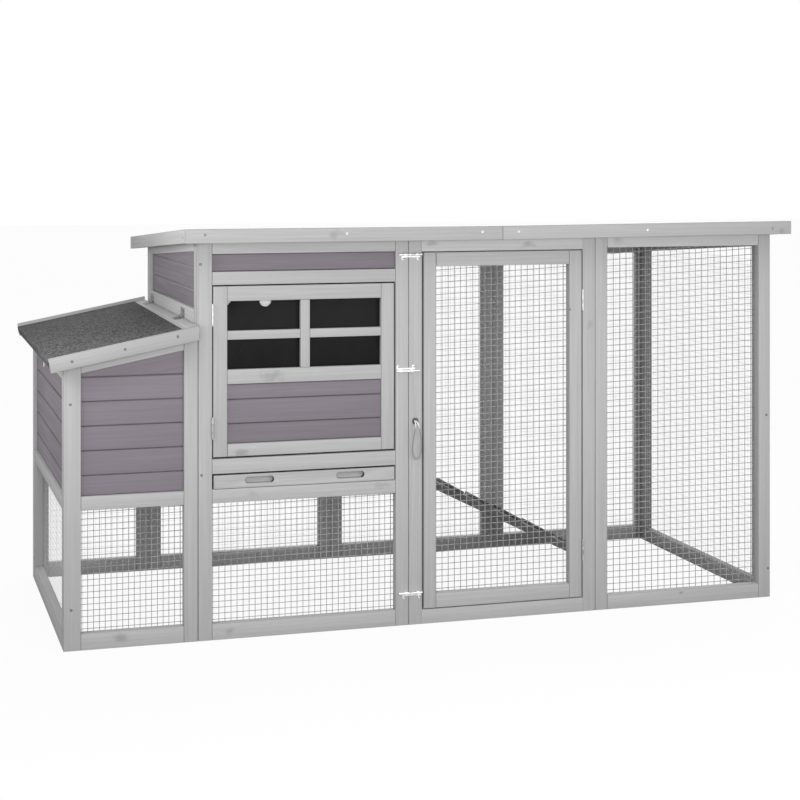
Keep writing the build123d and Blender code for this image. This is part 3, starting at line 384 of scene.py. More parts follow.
def dim_faces(piece, wanted, share):
    """Darken the paint on some faces as painted shade, as in a corner that light hardly
    reaches, or with a share over 1 make it paler as painted light."""
    tone = piece.data.attributes["tone"].data
    for face in piece.data.polygons:
        if wanted(face):
            for number in face.loop_indices:
                tone[number].value *= share


def put_up(piece, node, body, finish):
    """Give a made piece its finish and its place in the coop."""
    piece.data.materials.clear()
    piece.data.materials.append(finish)
    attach(piece, body)
    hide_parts(node)


def deepen_end_rail(piece):
    """Give the sloping top rail of the run's end its real depth, more at the back than in front."""
    slope, rail_foot, rail_end, underside = 0.0585, 0.895, 0.35, 0.0014
    rail = [corner.co for corner in piece.data.vertices if corner.co.z > rail_foot]
    ends = [place for place in rail if abs(place.y) > rail_end]
    under = min(place.z + slope * place.y for place in ends) + underside
    for side, deeper in ((-1, -0.007), (1, -0.013)):
        shift_corners(
            piece, lambda place: place.z > rail_foot and place.z + slope * place.y < under
            and side * place.y > 0, (0, 0, deeper),
        )


stick_face, fascia_face = -0.4316, -0.4716
grey_paint = wood_finish(
    "light_grey_paint", dark=(0.445, 0.445, 0.447), light=(0.505, 0.505, 0.507),
    knot=(0.29, 0.287, 0.284), edge=(0.20, 0.20, 0.20),
    grain_depth=0.16, knot_share=0.35, ring_share=0.35, edge_share=0.55, knots_at=(
        (-0.4340, stick_face, 0.6480, 0.034, 0.015, 0.65),
        (-0.5102, stick_face, 0.4607, 0.018, 0.012, 0.7),
        (0.2506, stick_face, 0.9672, 0.020, 0.010, 0.7),
        (-0.0149, stick_face, 0.9742, 0.016, 0.009, 0.6),
        (-0.2822, fascia_face, 0.9993, 0.020, 0.012, 0.5),
        (-0.8097, stick_face, 0.0231, 0.020, 0.013, 0.7),
        (0.4222, stick_face, 0.7526, 0.010, 0.012, 0.6),
        (0.5051, stick_face, 0.9744, 0.018, 0.010, 0.5),
        (-0.5430, stick_face, 0.0204, 0.014, 0.009, 0.6),
        (0.9651, fascia_face, 0.9974, 0.012, 0.010, 0.6),
        (-0.1537, stick_face, 0.3586, 0.024, 0.010, 0.45),
        (-0.4824, stick_face, 0.3560, 0.018, 0.009, 0.35),
        (0.6860, stick_face, 0.0297, 0.007, 0.004, 1.0),
    ),
)
stick_edge = 0.0008
front_gap, back_gap = 0.0003, -0.00025
back_rail_foot, back_rail_deeper = 0.905, 0.0065
near_stile_edge, near_stile_narrower = -0.3725, 0.025
square_to, anywhere = 0.9, 9.0
leftwards, forwards, upwards = Vector((-1, 0, 0)), Vector((0, -1, 0)), Vector((0, 0, 1))
# Painted shade: faces of the back frames and of the run's end frame that look into the run under
# its roof are darkened by these shares, for the shade there.
painted_shade_faces = (
    ("run_right_frame", leftwards, deep, 0.32, anywhere, 0.70),
    ("run_right_frame", leftwards, upright, 0.88, anywhere, 0.70),
    ("run_right_frame", forwards, deep, 0.30, anywhere, 0.48),
    ("run_right_frame", leftwards, upright, -anywhere, 0.1, 0.75),
    ("run_right_frame", upwards, upright, -anywhere, 0.1, 0.44),
    ("nest_back_frame", forwards, upright, -anywhere, anywhere, 0.89),
    ("house_back_frame", forwards, upright, -anywhere, anywhere, 0.89),
    ("run_back_frame", forwards, upright, -anywhere, anywhere, 0.89),
    ("run_back_frame", forwards, across, 0.9, anywhere, 0.58),
    ("run_back_frame", forwards, upright, 0.88, anywhere, 0.80),
)
# The run's two top rails are painted 15% lighter, as painted light against the shade under the
# roof's edge.
for node, meeting_sides, tones in (
    ("nest_front_frame", (1,), ()), ("nest_left_frame", (), ()), ("nest_back_frame", (1,), ()),
    ("house_front_frame", (0, 1), ()), ("house_left_wall_frame", (), ()),
    ("house_right_wall_frame", (), ()), ("house_back_frame", (0, 1), ()),
    ("run_front_frame", (0, 1), (1.15,)), ("run_panel_frame", (0,), (1.15,)),
    ("run_right_frame", (), ()), ("run_back_frame", (0,), ()),
):
    piece = eased_copy(node, stick_edge)
    gap = back_gap if "back" in node else front_gap
    for side in meeting_sides:
        set_back(piece, across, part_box(node)[side].x, gap - 2 * gap * side)
    if node == "run_back_frame":
        set_back(piece, upright, back_rail_foot, -back_rail_deeper)
    if node == "run_right_frame":
        deepen_end_rail(piece)
    if node == "nest_left_frame":
        set_back(piece, deep, near_stile_edge, -near_stile_narrower)
    lay_grain(piece, tones)
    for dimmed, facing, axis, low, high, share in painted_shade_faces:
        if dimmed == node:
            dim_faces(
                piece, lambda face: face.normal.dot(facing) > square_to
                and low < face.center[axis] < high, share,
            )
    put_up(piece, node, "coop", grey_paint)


# Wall boards: tongued fir cladding with a V joint, stained mauve grey and set into the frames
# from inside, so that the frame stands a little proud of them.
mauve_stain = wood_finish(
    "mauve_grey_stain", dark=(0.214, 0.189, 0.217), light=(0.244, 0.216, 0.247),
    knot=(0.14, 0.119, 0.138), edge=(0.15, 0.128, 0.149),
    grain_depth=0.3, knot_share=0.4, ring_share=0.4, edge_share=0.22,
)
board_edge, near_board_end, slanting = 0.0007, -0.3724, 0.3
# Grooves: the slanted faces of the V joints are darker on the nest's end boards, and paler on the
# house's upper boards, as painted light in their shaded grooves.
joint_tones = {"nest_left_boards": 0.6, "house_upper_boards": 1.7}
# Tones from the top down, as painted light and shade: the boards mostly darker towards the bottom,
# and the nest's end boards darker all over, on that less lit side.
for node, tones in (
    ("nest_front_boards", (1.03, 1.12, 1.02, 1.00, 0.99, 0.98)),
    ("nest_left_boards", (0.88, 0.91, 0.89, 0.84, 0.90)),
    ("house_upper_boards", (0.98, 0.98, 0.91, 0.82)),
    ("house_right_wall_boards", ()), ("back_boards", ()),
):
    piece = eased_copy(node, board_edge)
    if node == "nest_left_boards":
        set_back(piece, deep, near_board_end, -near_stile_narrower)
    lay_grain(piece, tones)
    if node in joint_tones:
        dim_faces(
            piece, lambda face: face.normal.x < -slanting and abs(face.normal.z) > slanting,
            joint_tones[node],
        )
    put_up(piece, node, "coop", mauve_stain)


# Inside timber: bearers that carry the tray, the nest floor and the roof joint, and the pop door's
# guides, in the frames' grey paint and screwed to the frames from inside.
def fit_timber(node, body, edge, finish):
    """A painted timber piece as the solid has it, with its grain."""
    piece = eased_copy(node, edge)
    lay_grain(piece)
    put_up(piece, node, body, finish)


for node in ("bearers", "pop_door_guides"):
    fit_timber(node, "coop", stick_edge, grey_paint)


# Ramp: one board with nailed cleats, from the pop hole's sill to the ground, in a darker grey
# that is painted shade, for the shade it lies in under the roof.
ramp_painted_shade = wood_finish(
    "dark_grey_ramp_stain", dark=(0.14, 0.14, 0.142), light=(0.19, 0.19, 0.192),
    knot=(0.09, 0.088, 0.085), edge=(0.22, 0.22, 0.222),
    grain_depth=0.25, knot_share=0.4, ring_share=0.5,
)
ramp_edge = 0.0011
fit_timber("ramp", "coop", ramp_edge, ramp_painted_shade)


# Bare boards: nest floor, nest divider, roost bar, the roof's two decks and the lid's deck, planed
# fir left unpainted because only the hens see it. The roof's decks have greyed.
bare_fir = wood_finish(
    "bare_planed_fir", dark=(0.50, 0.37, 0.23), light=(0.66, 0.52, 0.36),
    knot=(0.25, 0.14, 0.07), edge=(0.68, 0.55, 0.40),
    grain_depth=0.2, knot_share=0.7, ring_share=0.7,
)
greyed_fir = wood_finish(
    "greyed_planed_fir", dark=(0.36, 0.335, 0.30), light=(0.46, 0.435, 0.395),
    knot=(0.22, 0.19, 0.16), edge=(0.48, 0.455, 0.415),
    grain_depth=0.2, knot_share=0.7, ring_share=0.7,
)
lid_up = Vector((-0.1908, 0.0, 0.9816))
lid_along = Vector((0.9816, 0.0, 0.1908))
far_rise = lid_up * 0.0095 + Vector((0, 0.005, 0))
lid_far_side = 0.40


def settle_roof(piece):
    """Let the roof's left panel sit low and the right end of its right panel ride high,
    as they were screwed on."""
    middle, left_lower, right_higher, right_further = 0.5, 0.0034, 0.0020, 0.0055
    shift_corners(piece, lambda place: place.x < middle, (0, 0, -left_lower))
    shift_corners(piece, lambda place: place.x > middle, (right_further, 0, right_higher))


for node, body, finish in (
    ("nest_floor", "coop", bare_fir), ("nest_divider", "coop", bare_fir),
    ("roost_bar", "coop", bare_fir), ("roof_deck", "coop", greyed_fir),
    ("nest_lid_deck", "nest_lid", bare_fir),
):
    piece = eased_copy(node, stick_edge)
    if node == "nest_lid_deck":
        shift_corners(piece, lambda place: place.y > lid_far_side, far_rise)
    if node == "roof_deck":
        settle_roof(piece)
    lay_grain(piece)
    put_up(piece, node, body, finish)


# Nets: galvanised wire welded in squares of about 16 mm, cut to lap 10 mm onto the inner face of
# each frame and stapled there. Upright wires lie on the timber and level wires lie across them.
# On the front these climb a little to the right, the more the higher they are.
def join_up(copies, name):
    """Join copies to one piece with its place in its mesh."""
    bpy.ops.object.select_all(action="DESELECT")
    for copy in copies:
        copy.select_set(True)
    bpy.context.view_layer.objects.active = copies[0]
    bpy.ops.object.join()
    bpy.ops.object.transform_apply(location=True, rotation=True, scale=True)
    bpy.context.object.name = name
    return bpy.context.object


def welded_net(node, body, panels, wires, finish, climb):
    """Rows of straight wires for each panel, which is given by its axis, face, inward side, span,
    heights, and squares across and up."""
    rows = []
    for axis, face, inward, low, high, foot, head, columns, steps in panels:
        for standing in (True, False):
            wire = wires[0] if standing else wires[1]
            depth = face + inward * (wire / 2 if standing else wires[0] + wire / 2)
            length = head - foot if standing else high - low
            bpy.ops.object.select_all(action="DESELECT")
            bpy.ops.mesh.primitive_cylinder_add(vertices=6, radius=wire / 2, depth=length)
            bpy.ops.object.shade_smooth_by_angle(angle=radians(70))
            strand = bpy.context.object
            count = columns if standing else steps
            pace = (high - low - wire) / columns if standing else (head - foot - wire) / steps
            for number in range(count + 1):
                along = low + wire / 2 + number * pace if standing else (low + high) / 2
                height = (foot + head) / 2 if standing else foot + wire / 2 + number * pace
                tilt = 0.0 if standing else climb * height
                height -= tilt * length / 2
                copy = bpy.data.objects.new(node, strand.data.copy())
                bpy.context.scene.collection.objects.link(copy)
                on_x = axis == "X"
                copy.location = (along, depth, height) if on_x else (depth, along, height)
                laid = (0, radians(90) - tilt, 0) if on_x else (radians(90), 0, 0)
                if not standing:
                    copy.rotation_euler = laid
                rows.append(copy)
            bpy.data.objects.remove(strand)
    net = join_up(rows, node + "_made")
    put_up(net, node, body, finish)
    return net


def two_tones(tree, value, first, second, start=0.0, end=1.0):
    """A colour that goes from a first tone to a second one as a value rises."""
    ramp = add_node(tree, "ValToRGB", {"Fac": value})
    for element, place, tone in zip(ramp.color_ramp.elements, (start, end), (first, second)):
        element.position = place
        element.color = (*tone, 1)
    return ramp.outputs["Color"]


def clouded_metal(
    name, dull, bright, metal, scale=90.0, detail=4.0, tones=(0.3, 0.7), roughness=0.55,
):
    """Metal that is cloudy from dull to bright, and with two roughnesses also in its gloss."""
    finish, tree, shader = new_finish(name)
    cloud = clouds(tree, own_place(tree), scale, detail)
    if isinstance(roughness, tuple):
        roughness = spread(tree, cloud, 0.0, 1.0, *roughness)
    set_inputs(shader, {
        "Base Color": two_tones(tree, cloud, dull, bright, *tones),
        "Metallic": metal, "Roughness": roughness,
    })
    return finish


def further_finish(piece, finish, wanted):
    """Give some faces of a piece a finish of their own."""
    piece.data.materials.append(finish)
    for face in piece.data.polygons:
        if wanted(face):
            face.material_index = len(piece.data.materials) - 1


dull_wire = clouded_metal(
    "dull_galvanised_wire", dull=(0.27, 0.27, 0.274), bright=(0.41, 0.41, 0.418), metal=0.2,
)
half_dull_wire = clouded_metal(
    "half_dull_galvanised_wire", dull=(0.42, 0.42, 0.425), bright=(0.56, 0.56, 0.57), metal=0.2,
)
pale_wire = clouded_metal(
    "pale_galvanised_wire", dull=(0.78, 0.78, 0.785), bright=(0.90, 0.90, 0.905), metal=0.1,
)
front_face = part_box("run_panel_frame")[1].y
back_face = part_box("run_back_frame")[0].y
nest_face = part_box("nest_left_frame")[1].x
end_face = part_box("run_right_frame")[0].x
for node, body, panels, wires, finish, climb in (
    ("front_lower_mesh", "coop", [
        ("X", front_face, 1, -0.9163, -0.6453, 0.030, 0.348, 19, 21),
        ("X", front_face, 1, -0.5953, -0.1023, 0.030, 0.348, 32, 21),
    ], (0.0017, 0.0017), dull_wire, 0.058),
    ("run_panel_mesh", "coop", [
        ("X", front_face, 1, 0.4617, 0.9257, 0.028, 0.966, 25, 56),
    ], (0.00185, 0.00185), dull_wire, 0.064),
    ("run_door_mesh", "run_door", [
        ("X", front_face, 1, -0.0143, 0.3737, 0.066, 0.924, 23, 53),
    ], (0.00185, 0.00185), dull_wire, 0.060),
    ("nest_left_mesh", "coop", [
        ("Y", nest_face, 1, -0.4066, 0.3394, 0.030, 0.348, 46, 20),
    ], (0.0005, 0.0006), pale_wire, 0.0),
    ("back_lower_mesh", "coop", [
        ("X", back_face, -1, -0.9163, -0.6453, 0.030, 0.348, 17, 20),
        ("X", back_face, -1, -0.5953, -0.1023, 0.030, 0.348, 31, 20),
    ], (0.0006, 0.0006), pale_wire, 0.0),
    ("run_back_mesh", "coop", [
        ("X", back_face, -1, -0.0523, 0.4117, 0.030, 0.915, 29, 55),
        ("X", back_face, -1, 0.4617, 0.9257, 0.030, 0.915, 29, 55),
    ], (0.0006, 0.0006), pale_wire, 0.0),
    ("run_right_mesh", "coop", [
        ("Y", end_face, -1, -0.3826, 0.3394, 0.028, 0.9154, 45, 55),
    ], (0.0006, 0.0006), pale_wire, 0.0),
):
    net = welded_net(node, body, panels, wires, finish, climb)
    if node == "nest_left_mesh":
        further_finish(net, half_dull_wire, lambda face: face.center.x > nest_face + wires[0])


# Roof felt: bitumen felt faced with crushed slate, laid over the decks of the main roof and of the
# nest lid, tacked along the edges and turned down over the eaves.
slate_felt, tree, shader = new_finish("mineral_roof_felt")
place = own_place(tree)
chips = add_node(tree, "TexVoronoi", {"Vector": place, "Scale": 300.0}).outputs
chip_shade = add_node(tree, "SeparateColor", {"Color": chips["Color"]}).outputs["Red"]
dark_chip, pale_chip = (0.013, 0.013, 0.013), (0.20, 0.20, 0.20)
chip_tone = two_tones(tree, chip_shade, dark_chip, pale_chip, start=0.1, end=0.95)
weather = clouds(tree, place, scale=7.0, detail=5.0)
weather_share = 0.35
weathered = blend(tree, weather_share, chip_tone, weather, "MULTIPLY")
# Painted light: the felt is paler at the front and darker towards the back, as the light falls off
# from the front.
from_the_front = add_node(tree, "SeparateXYZ", {"Vector": place}).outputs["Y"]
painted_light_falloff = spread(tree, from_the_front, low=-0.45, high=0.41, to_low=1.18, to_high=0.74)
set_inputs(shader, {
    "Base Color": scaled(tree, weathered, painted_light_falloff), "Roughness": 0.92, "Specular IOR Level": 0.2,
    "Normal": relief(tree, chips["Distance"], strength=0.5, depth=0.0008),
})
felt_edge = 0.0005
rail_narrowed, near_lip_raised = 0.015, 0.006
for node, body in (("roof_felt", "coop"), ("nest_lid_felt", "nest_lid")):
    piece = eased_copy(node, felt_edge)
    if node == "roof_felt":
        settle_roof(piece)
    else:
        corners = [corner.co for corner in piece.data.vertices]
        top_edge = max(place.dot(lid_along) for place in corners) - near_edge
        lip_edge = min(place.dot(lid_up) for place in corners) + near_edge
        shift_corners(
            piece, lambda place: place.dot(lid_along) > top_edge, lid_along * rail_narrowed,
        )
        shift_corners(
            piece, lambda place: place.dot(lid_up) < lip_edge and place.y < 0,
            lid_up * near_lip_raised,
        )
        shift_corners(piece, lambda place: place.y > lid_far_side, far_rise)
    put_up(piece, node, body, slate_felt)


# Fascias: painted boards screwed to the edges of the main roof and of the nest lid. They cover
# the deck's and the felt's edges and stand a little above them.
fascia_edge, skin = 0.0009, 0.0001
# The lid's fascia gets tones from the top down: its lowest stick a little darker, as painted shade.
for node, body, tones in (
    ("roof_fascia", "coop", ()), ("nest_lid_fascia", "nest_lid", (1.0, 1.0, 0.93)),
):
    piece = eased_copy(node, fascia_edge)
    if node == "roof_fascia":
        settle_roof(piece)
    else:
        near_face, far_face = (corner.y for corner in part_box("nest_lid_deck"))
        inner, outer = near_face + skin, far_face - skin
        corners = [corner.co for corner in piece.data.vertices]
        rail_foot = min(place.dot(lid_along) for place in corners if inner < place.y < outer)
        rail_foot += near_edge
        shift_corners(
            piece, lambda place: inner < place.y < outer and place.dot(lid_along) < rail_foot,
            lid_along * rail_narrowed,
        )
        shift_corners(piece, lambda place: place.y > outer, far_rise)
    lay_grain(piece, tones)
    put_up(piece, node, body, grey_paint)


# Droppings tray: a folded galvanised sheet that is the house floor, nailed to a painted front
# with two routed finger slots, which slides out on the bearers.
tray_zinc, tree, shader = new_finish("galvanised_sheet")
spangle = add_node(tree, "TexVoronoi", {"Vector": own_place(tree), "Scale": 70.0})
spangle_shade = add_node(tree, "SeparateColor", {"Color": spangle.outputs["Color"]}).outputs
dull_spangle, bright_spangle = (0.46, 0.47, 0.48), (0.62, 0.63, 0.64)
set_inputs(shader, {
    "Base Color": two_tones(tree, spangle_shade["Red"], dull_spangle, bright_spangle),
    "Roughness": spread(tree, spangle_shade["Green"], 0.0, 1.0, to_low=0.3, to_high=0.5),
    "Metallic": 1.0,
})
sheet_edge = 0.0004
put_up(eased_copy("tray_pan", sheet_edge), "tray_pan", "tray", tray_zinc)
# Painted shade: the finger slots' walls and floor take a darker grey than the front, their end
# walls that face left darker still, and their floors a little paler as painted light.
slot_painted_shade = wood_finish(
    "thin_paint_in_slots", dark=(0.35, 0.35, 0.352), light=(0.42, 0.42, 0.422),
    knot=(0.25, 0.25, 0.25), edge=(0.10, 0.10, 0.10),
    grain_depth=0.2, knot_share=0.2, ring_share=0.3,
)
tray_front = eased_copy("tray_front", stick_edge)
tray_low, tray_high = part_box("tray_front")
slot_floor = tray_low.y + 0.009
for axis, edge, by in (
    (deep, slot_floor, 0.0055), (upright, tray_high.z, -0.0030), (across, tray_low.x, 0.0022),
    (across, tray_high.x, -0.0010),
):
    set_back(tray_front, axis, edge, by)
lay_grain(tray_front)
put_up(tray_front, "tray_front", "tray", grey_paint)
margins = Vector((0.02, 0.001, 0.006))
slot_end_painted_shade, slot_floor_painted_light = 0.30, 1.18


def in_a_slot(face):
    """Tell whether a face of the tray front is a wall or the floor of a finger slot."""
    least, most = tray_low + margins, tray_high - margins
    return all(least[way] < face.center[way] < most[way] for way in range(3))


further_finish(tray_front, slot_painted_shade, in_a_slot)
for axis, facing, share in ((across, slanting, slot_end_painted_shade), (deep, square_to, slot_floor_painted_light)):
    dim_faces(
        tray_front, lambda face: face.material_index == 1 and face.normal[axis] < -facing, share,
    )


# House door: a painted frame with glazing bars above and three stained boards below, with strips
# inside that leave a slot for the panes.
# Painted light: the strips are painted much paler than the frames, for light on them where they sit
# in shade behind the panes' notches and clipped corners.
batten_painted_light = wood_finish(
    "pale_strip_paint", dark=(0.66, 0.66, 0.655), light=(0.76, 0.76, 0.755),
    knot=(0.46, 0.45, 0.44), edge=(0.78, 0.78, 0.775),
    grain_depth=0.16, knot_share=0.3, ring_share=0.3,
)
strip_edge = 0.0006
upper_joint, joint_higher = (0.577, 0.599), 0.0052


def fit_door(piece, node, trims, rail_depth, at_foot, joint_gap):
    """Plane a door's left, right, lower and upper edge to the gaps round it, and open the joint
    between its left stile and its lower or upper rail."""
    stile, joint_reach = 0.036, (0.0001, 0.0013)
    low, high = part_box(node)
    edges = ((across, low.x), (across, high.x), (upright, low.z), (upright, high.z))
    for (axis, edge), by in zip(edges, trims):
        set_back(piece, axis, edge, by)
    rail = (-anywhere, low.z + rail_depth) if at_foot else (high.z - rail_depth, anywhere)
    joint = low.x + stile
    shift_corners(
        piece, lambda place: joint_reach[0] < place.x - joint < joint_reach[1]
        and rail[0] < place.z < rail[1], (joint_gap, 0, 0),
    )


# The door's boards get tones from the top down, darker towards the bottom, as painted shade.
for node, finish, slot, edge, tones in (
    ("house_door_frame", grey_paint, "painted_timber", stick_edge, ()),
    ("pane_battens", batten_painted_light, "painted_timber", strip_edge, ()),
    ("house_door_boards", mauve_stain, "mauve_boards", board_edge, (1.02, 0.95, 0.87)),
):
    piece = eased_copy(node, edge)
    if node == "house_door_frame":
        fit_door(
            piece, node, trims=(0.0006, -0.0022, 0.0024, -0.0012), rail_depth=0.038, at_foot=True,
            joint_gap=0.0005,
        )
    if node == "house_door_boards":
        shift_corners(
            piece, lambda place: upper_joint[0] < place.z < upper_joint[1], (0, 0, joint_higher),
        )
    lay_grain(piece, tones)
    put_up(piece, node, "house_door", finish)


# Window panes: two sheets of dark acrylic that drop in their slots, each with a finger notch and
# clipped top corners. Sliding has left fine scuffs on them.
dark_acrylic, tree, shader = new_finish("dark_acrylic")
stretch = add_node(tree, "Mapping", {"Vector": own_place(tree), "Scale": (9.0, 9.0, 4.0)})
scuffs = clouds(tree, stretch.outputs["Vector"], scale=2.0, detail=6.0)
clear_acrylic, scuffed_acrylic = (0.0130, 0.0130, 0.0130), (0.0195, 0.0195, 0.0195)
set_inputs(shader, {
    "Base Color": two_tones(tree, scuffs, clear_acrylic, scuffed_acrylic),
    "Roughness": spread(tree, scuffs, 0.0, 1.0, to_low=0.14, to_high=0.34),
    "Specular IOR Level": 0.03,
})
for node, body in (("window_pane_left", "left_pane"), ("window_pane_right", "right_pane")):
    put_up(eased_copy(node, sheet_edge), node, body, dark_acrylic)


# Run door: a painted frame of the same sticks as the panels, butted and stapled, with its own net.
# It is hinged on the run's middle post.
piece = eased_copy("run_door_frame", stick_edge)
fit_door(
    piece, "run_door_frame", trims=(0.0034, -0.0013, 0.0006, -0.0008), rail_depth=0.039,
    at_foot=False, joint_gap=0.0009,
)
lay_grain(piece)
put_up(piece, "run_door_frame", "run_door", grey_paint)


# Pop door: a painted board that slides up and down in two guides on the house wall. The cord is
# tied to its upper edge and lifts it to let the hens into the run.
fit_timber("pop_door", "pop_hatch", stick_edge, grey_paint)


# Hinges: pressed steel leaves with knuckles rolled round a wire pin, zinc plated, greyer low
# on the doors and dull on the nest lid. Each leaf is screwed on.
door_hinge_zinc = clouded_metal(
    "zinc_plate_on_hinges", dull=(0.60, 0.60, 0.605), bright=(0.84, 0.84, 0.845), metal=0.5,
)
low_hinge_zinc = clouded_metal(
    "splashed_zinc_plate", dull=(0.26, 0.26, 0.265), bright=(0.56, 0.56, 0.565), metal=0.4,
)
lid_hinge_zinc = clouded_metal(
    "dull_zinc_plate", dull=(0.09, 0.09, 0.092), bright=(0.30, 0.30, 0.305), metal=0.3,
)
metal_edge = 0.0002
low_hinges, lid_hinges = 0.6, -0.615
knuckle_reach, knuckle_share = 0.0035, 0.6
house_pin, run_pin = Vector((-0.58427, -0.43504)), Vector((0.40073, -0.43504))


def thin_knuckles(piece):
    """Draw the knuckles of the door hinges in round their pins."""
    for pin, foot in ((house_pin, low_hinges), (run_pin, 0.0)):
        pick_corners(piece, corners_where(
            piece, lambda place: (place.xy - pin).length < knuckle_reach and place.z > foot,
        ))
        thinner = (knuckle_share, knuckle_share, 1.0)
        bpy.ops.transform.resize(value=thinner, center_override=(*pin, 0.0))
        bpy.ops.object.mode_set(mode="OBJECT")


for node, body in (
    ("hinge_fixed_leaves", "coop"), ("house_door_leaves", "house_door"),
    ("run_door_leaves", "run_door"), ("lid_leaves", "nest_lid"), ("pivot_pins", "coop"),
):
    piece = eased_copy(node, metal_edge)
    if node != "pivot_pins":
        thin_knuckles(piece)
    put_up(piece, node, body, door_hinge_zinc)
    further_finish(piece, low_hinge_zinc, lambda face: face.center.z < low_hinges)
    further_finish(piece, lid_hinge_zinc, lambda face: face.center.x < lid_hinges)


# Tower bolts: a pressed strip with two straps and two screw ears, and a rod with a knob, all
# zinc plated steel, bright on the rod and straps and greyer on the strip. The strip is screwed to
# the post.
bright_zinc = clouded_metal(
    "bright_zinc_plate", dull=(0.74, 0.74, 0.75), bright=(0.90, 0.90, 0.90), metal=0.8,
    scale=160.0, roughness=(0.28, 0.5),
)
strip_zinc = clouded_metal(
    "rubbed_zinc_strip", dull=(0.66, 0.66, 0.665), bright=(0.90, 0.90, 0.905), metal=0.4,
)
strip_face = -0.4331
for node, body in (
    ("bolt_bodies", "coop"), ("house_bolt_rod", "house_bolt"), ("run_top_bolt_rod", "run_top_bolt"),
    ("run_bottom_bolt_rod", "run_bottom_bolt"),
):
    put_up(eased_copy(node, metal_edge), node, body, bright_zinc)
further_finish(made["bolt_bodies"], strip_zinc, lambda face: face.center.y > strip_face)


# Lid hook and its eye: bent zinc wire that ties the nest lid down. The hook turns on a screw in
# the nest's end, and the eye is screwed in under the lid.
for node, body in (("lid_hook", "hook"), ("lid_eye", "nest_lid")):
    put_up(eased_copy(node, metal_edge), node, body, bright_zinc)


# Screws: cross heads sunk into the stiles where panels meet and into the fascias, dark on the
# frames and lid, where dark steel is darkened further as painted shade of the holes they sit in,
# bright along the roof's front and dull at its ends, and smaller ones in bolts and hinges.
def screw_heads(name, body, finish, radius, spots):
    """Model one cross head, then copy it to every spot: a piece, a start, and the way from there
    that meets its surface."""
    thick, crown, cross_depth = 0.0010, 0.0003, 0.0009
    rim, land, on_diagonal, waist = radius * 0.22, radius * 0.12, radius * 0.05, 0.38
    bpy.ops.object.select_all(action="DESELECT")
    bpy.ops.mesh.primitive_cylinder_add(vertices=16, radius=radius, depth=thick)
    head = bpy.context.object
    pick_corners(head, corners_where(head, lambda place: place.z > 0))
    bpy.ops.mesh.inset(thickness=rim, depth=crown)
    bpy.ops.mesh.inset(thickness=land, depth=0.0)
    bpy.ops.object.mode_set(mode="OBJECT")
    recess = list(next(face for face in head.data.polygons if face.select).vertices)
    diagonals = corners_where(head, lambda place: abs(abs(place.x) - abs(place.y)) < on_diagonal)
    pick_corners(head, [number for number in recess if number in diagonals])
    bpy.ops.transform.resize(value=(waist, waist, 1.0), center_override=(0, 0, 0))
    bpy.ops.object.mode_set(mode="OBJECT")
    pick_corners(head, recess)
    bpy.ops.mesh.extrude_region_move(TRANSFORM_OT_translate={"value": (0, 0, -cross_depth)})
    bpy.ops.object.mode_set(mode="OBJECT")
    bpy.context.view_layer.update()
    copies = []
    for node, start, way in spots:
        met, place, facing, _ = made[node].ray_cast(Vector(start), Vector(way))
        if not met:
            raise ValueError(f"{name} misses {node} from {start}")
        copy = bpy.data.objects.new(name, head.data.copy())
        bpy.context.scene.collection.objects.link(copy)
        copy.location = place
        copy.rotation_euler = facing.to_track_quat("Z", "Y").to_euler()
        copies.append(copy)
    bpy.data.objects.remove(head)
    screws = join_up(copies, name)
    bpy.ops.object.shade_smooth_by_angle(angle=radians(35))
    screws.data.materials.clear()
    screws.data.materials.append(finish)
    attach(screws, body)


dark_screw, dull_screw, bright_screw = (
    clouded_metal(
        name, (dull,) * 3, (bright,) * 3, metal, scale=700.0, detail=3.0, tones=(0.35, 0.65),
        roughness=0.45,
    )
    for name, dull, bright, metal in (
        ("dark_screw", 0.055, 0.12, 0.4), ("dull_screw", 0.16, 0.30, 0.4),
        ("bright_screw", 0.70, 0.88, 0.6),
    )
)
panel_screw, hinge_screw, bolt_screw = 0.0031, 0.0024, 0.0022
inwards, outwards, down = (0, 1, 0), (0, -1, 0), (0, 0, -1)
from_left, from_right = (1, 0, 0), (-1, 0, 0)
clear_off, clear_left, clear_above = 2.0, -1.5, 1.5
spots = []
for end, start, way, house_top in (
    ("front", -clear_off, inwards, 0.929), ("back", clear_off, outwards, 0.880),
):
    run_frame = "run_panel_frame" if end == "front" else "run_back_frame"
    spots += [(node, (x, start, z), way) for node, x, z in (
        (f"house_{end}_frame", -0.6145, house_top), (f"house_{end}_frame", -0.6118, 0.409),
        (f"nest_{end}_frame", -0.9316, 0.5955), (f"nest_{end}_frame", -0.9297, 0.0988),
        (run_frame, 0.9397, 0.495), (run_frame, 0.9447, 0.0776),
    )]
spots += [("house_left_wall_frame", (clear_left, -0.3916, 0.974), from_left)]
spots += [("nest_left_frame", (clear_left, 0.347, 0.0625), from_left)]
screw_heads("frame_screws", "coop", dark_screw, panel_screw, spots)
spots = [("run_door_frame", (0.3657, -clear_off, 0.795), inwards)]
screw_heads("run_door_screws", "run_door", dark_screw, hinge_screw, spots)
front_row, end_row, end_spot = 1.003, 0.995, -0.432
front_screws, corner_screws = (-0.2507, 0.1087, 0.2077, 0.5697), (-0.6103, 0.9367)
spots = [("roof_fascia", (x, -clear_off, front_row), inwards) for x in front_screws]
screw_heads("roof_front_screws", "coop", bright_screw, panel_screw, spots)
spots = [("roof_fascia", (x, -clear_off, front_row), inwards) for x in corner_screws]
spots += [("roof_fascia", (-clear_off, end_spot, end_row), from_left)]
spots += [("roof_fascia", (clear_off, end_spot, end_row), from_right)]
screw_heads("roof_end_screws", "coop", dull_screw, panel_screw, spots)
far_lift = 0.009
spots = []
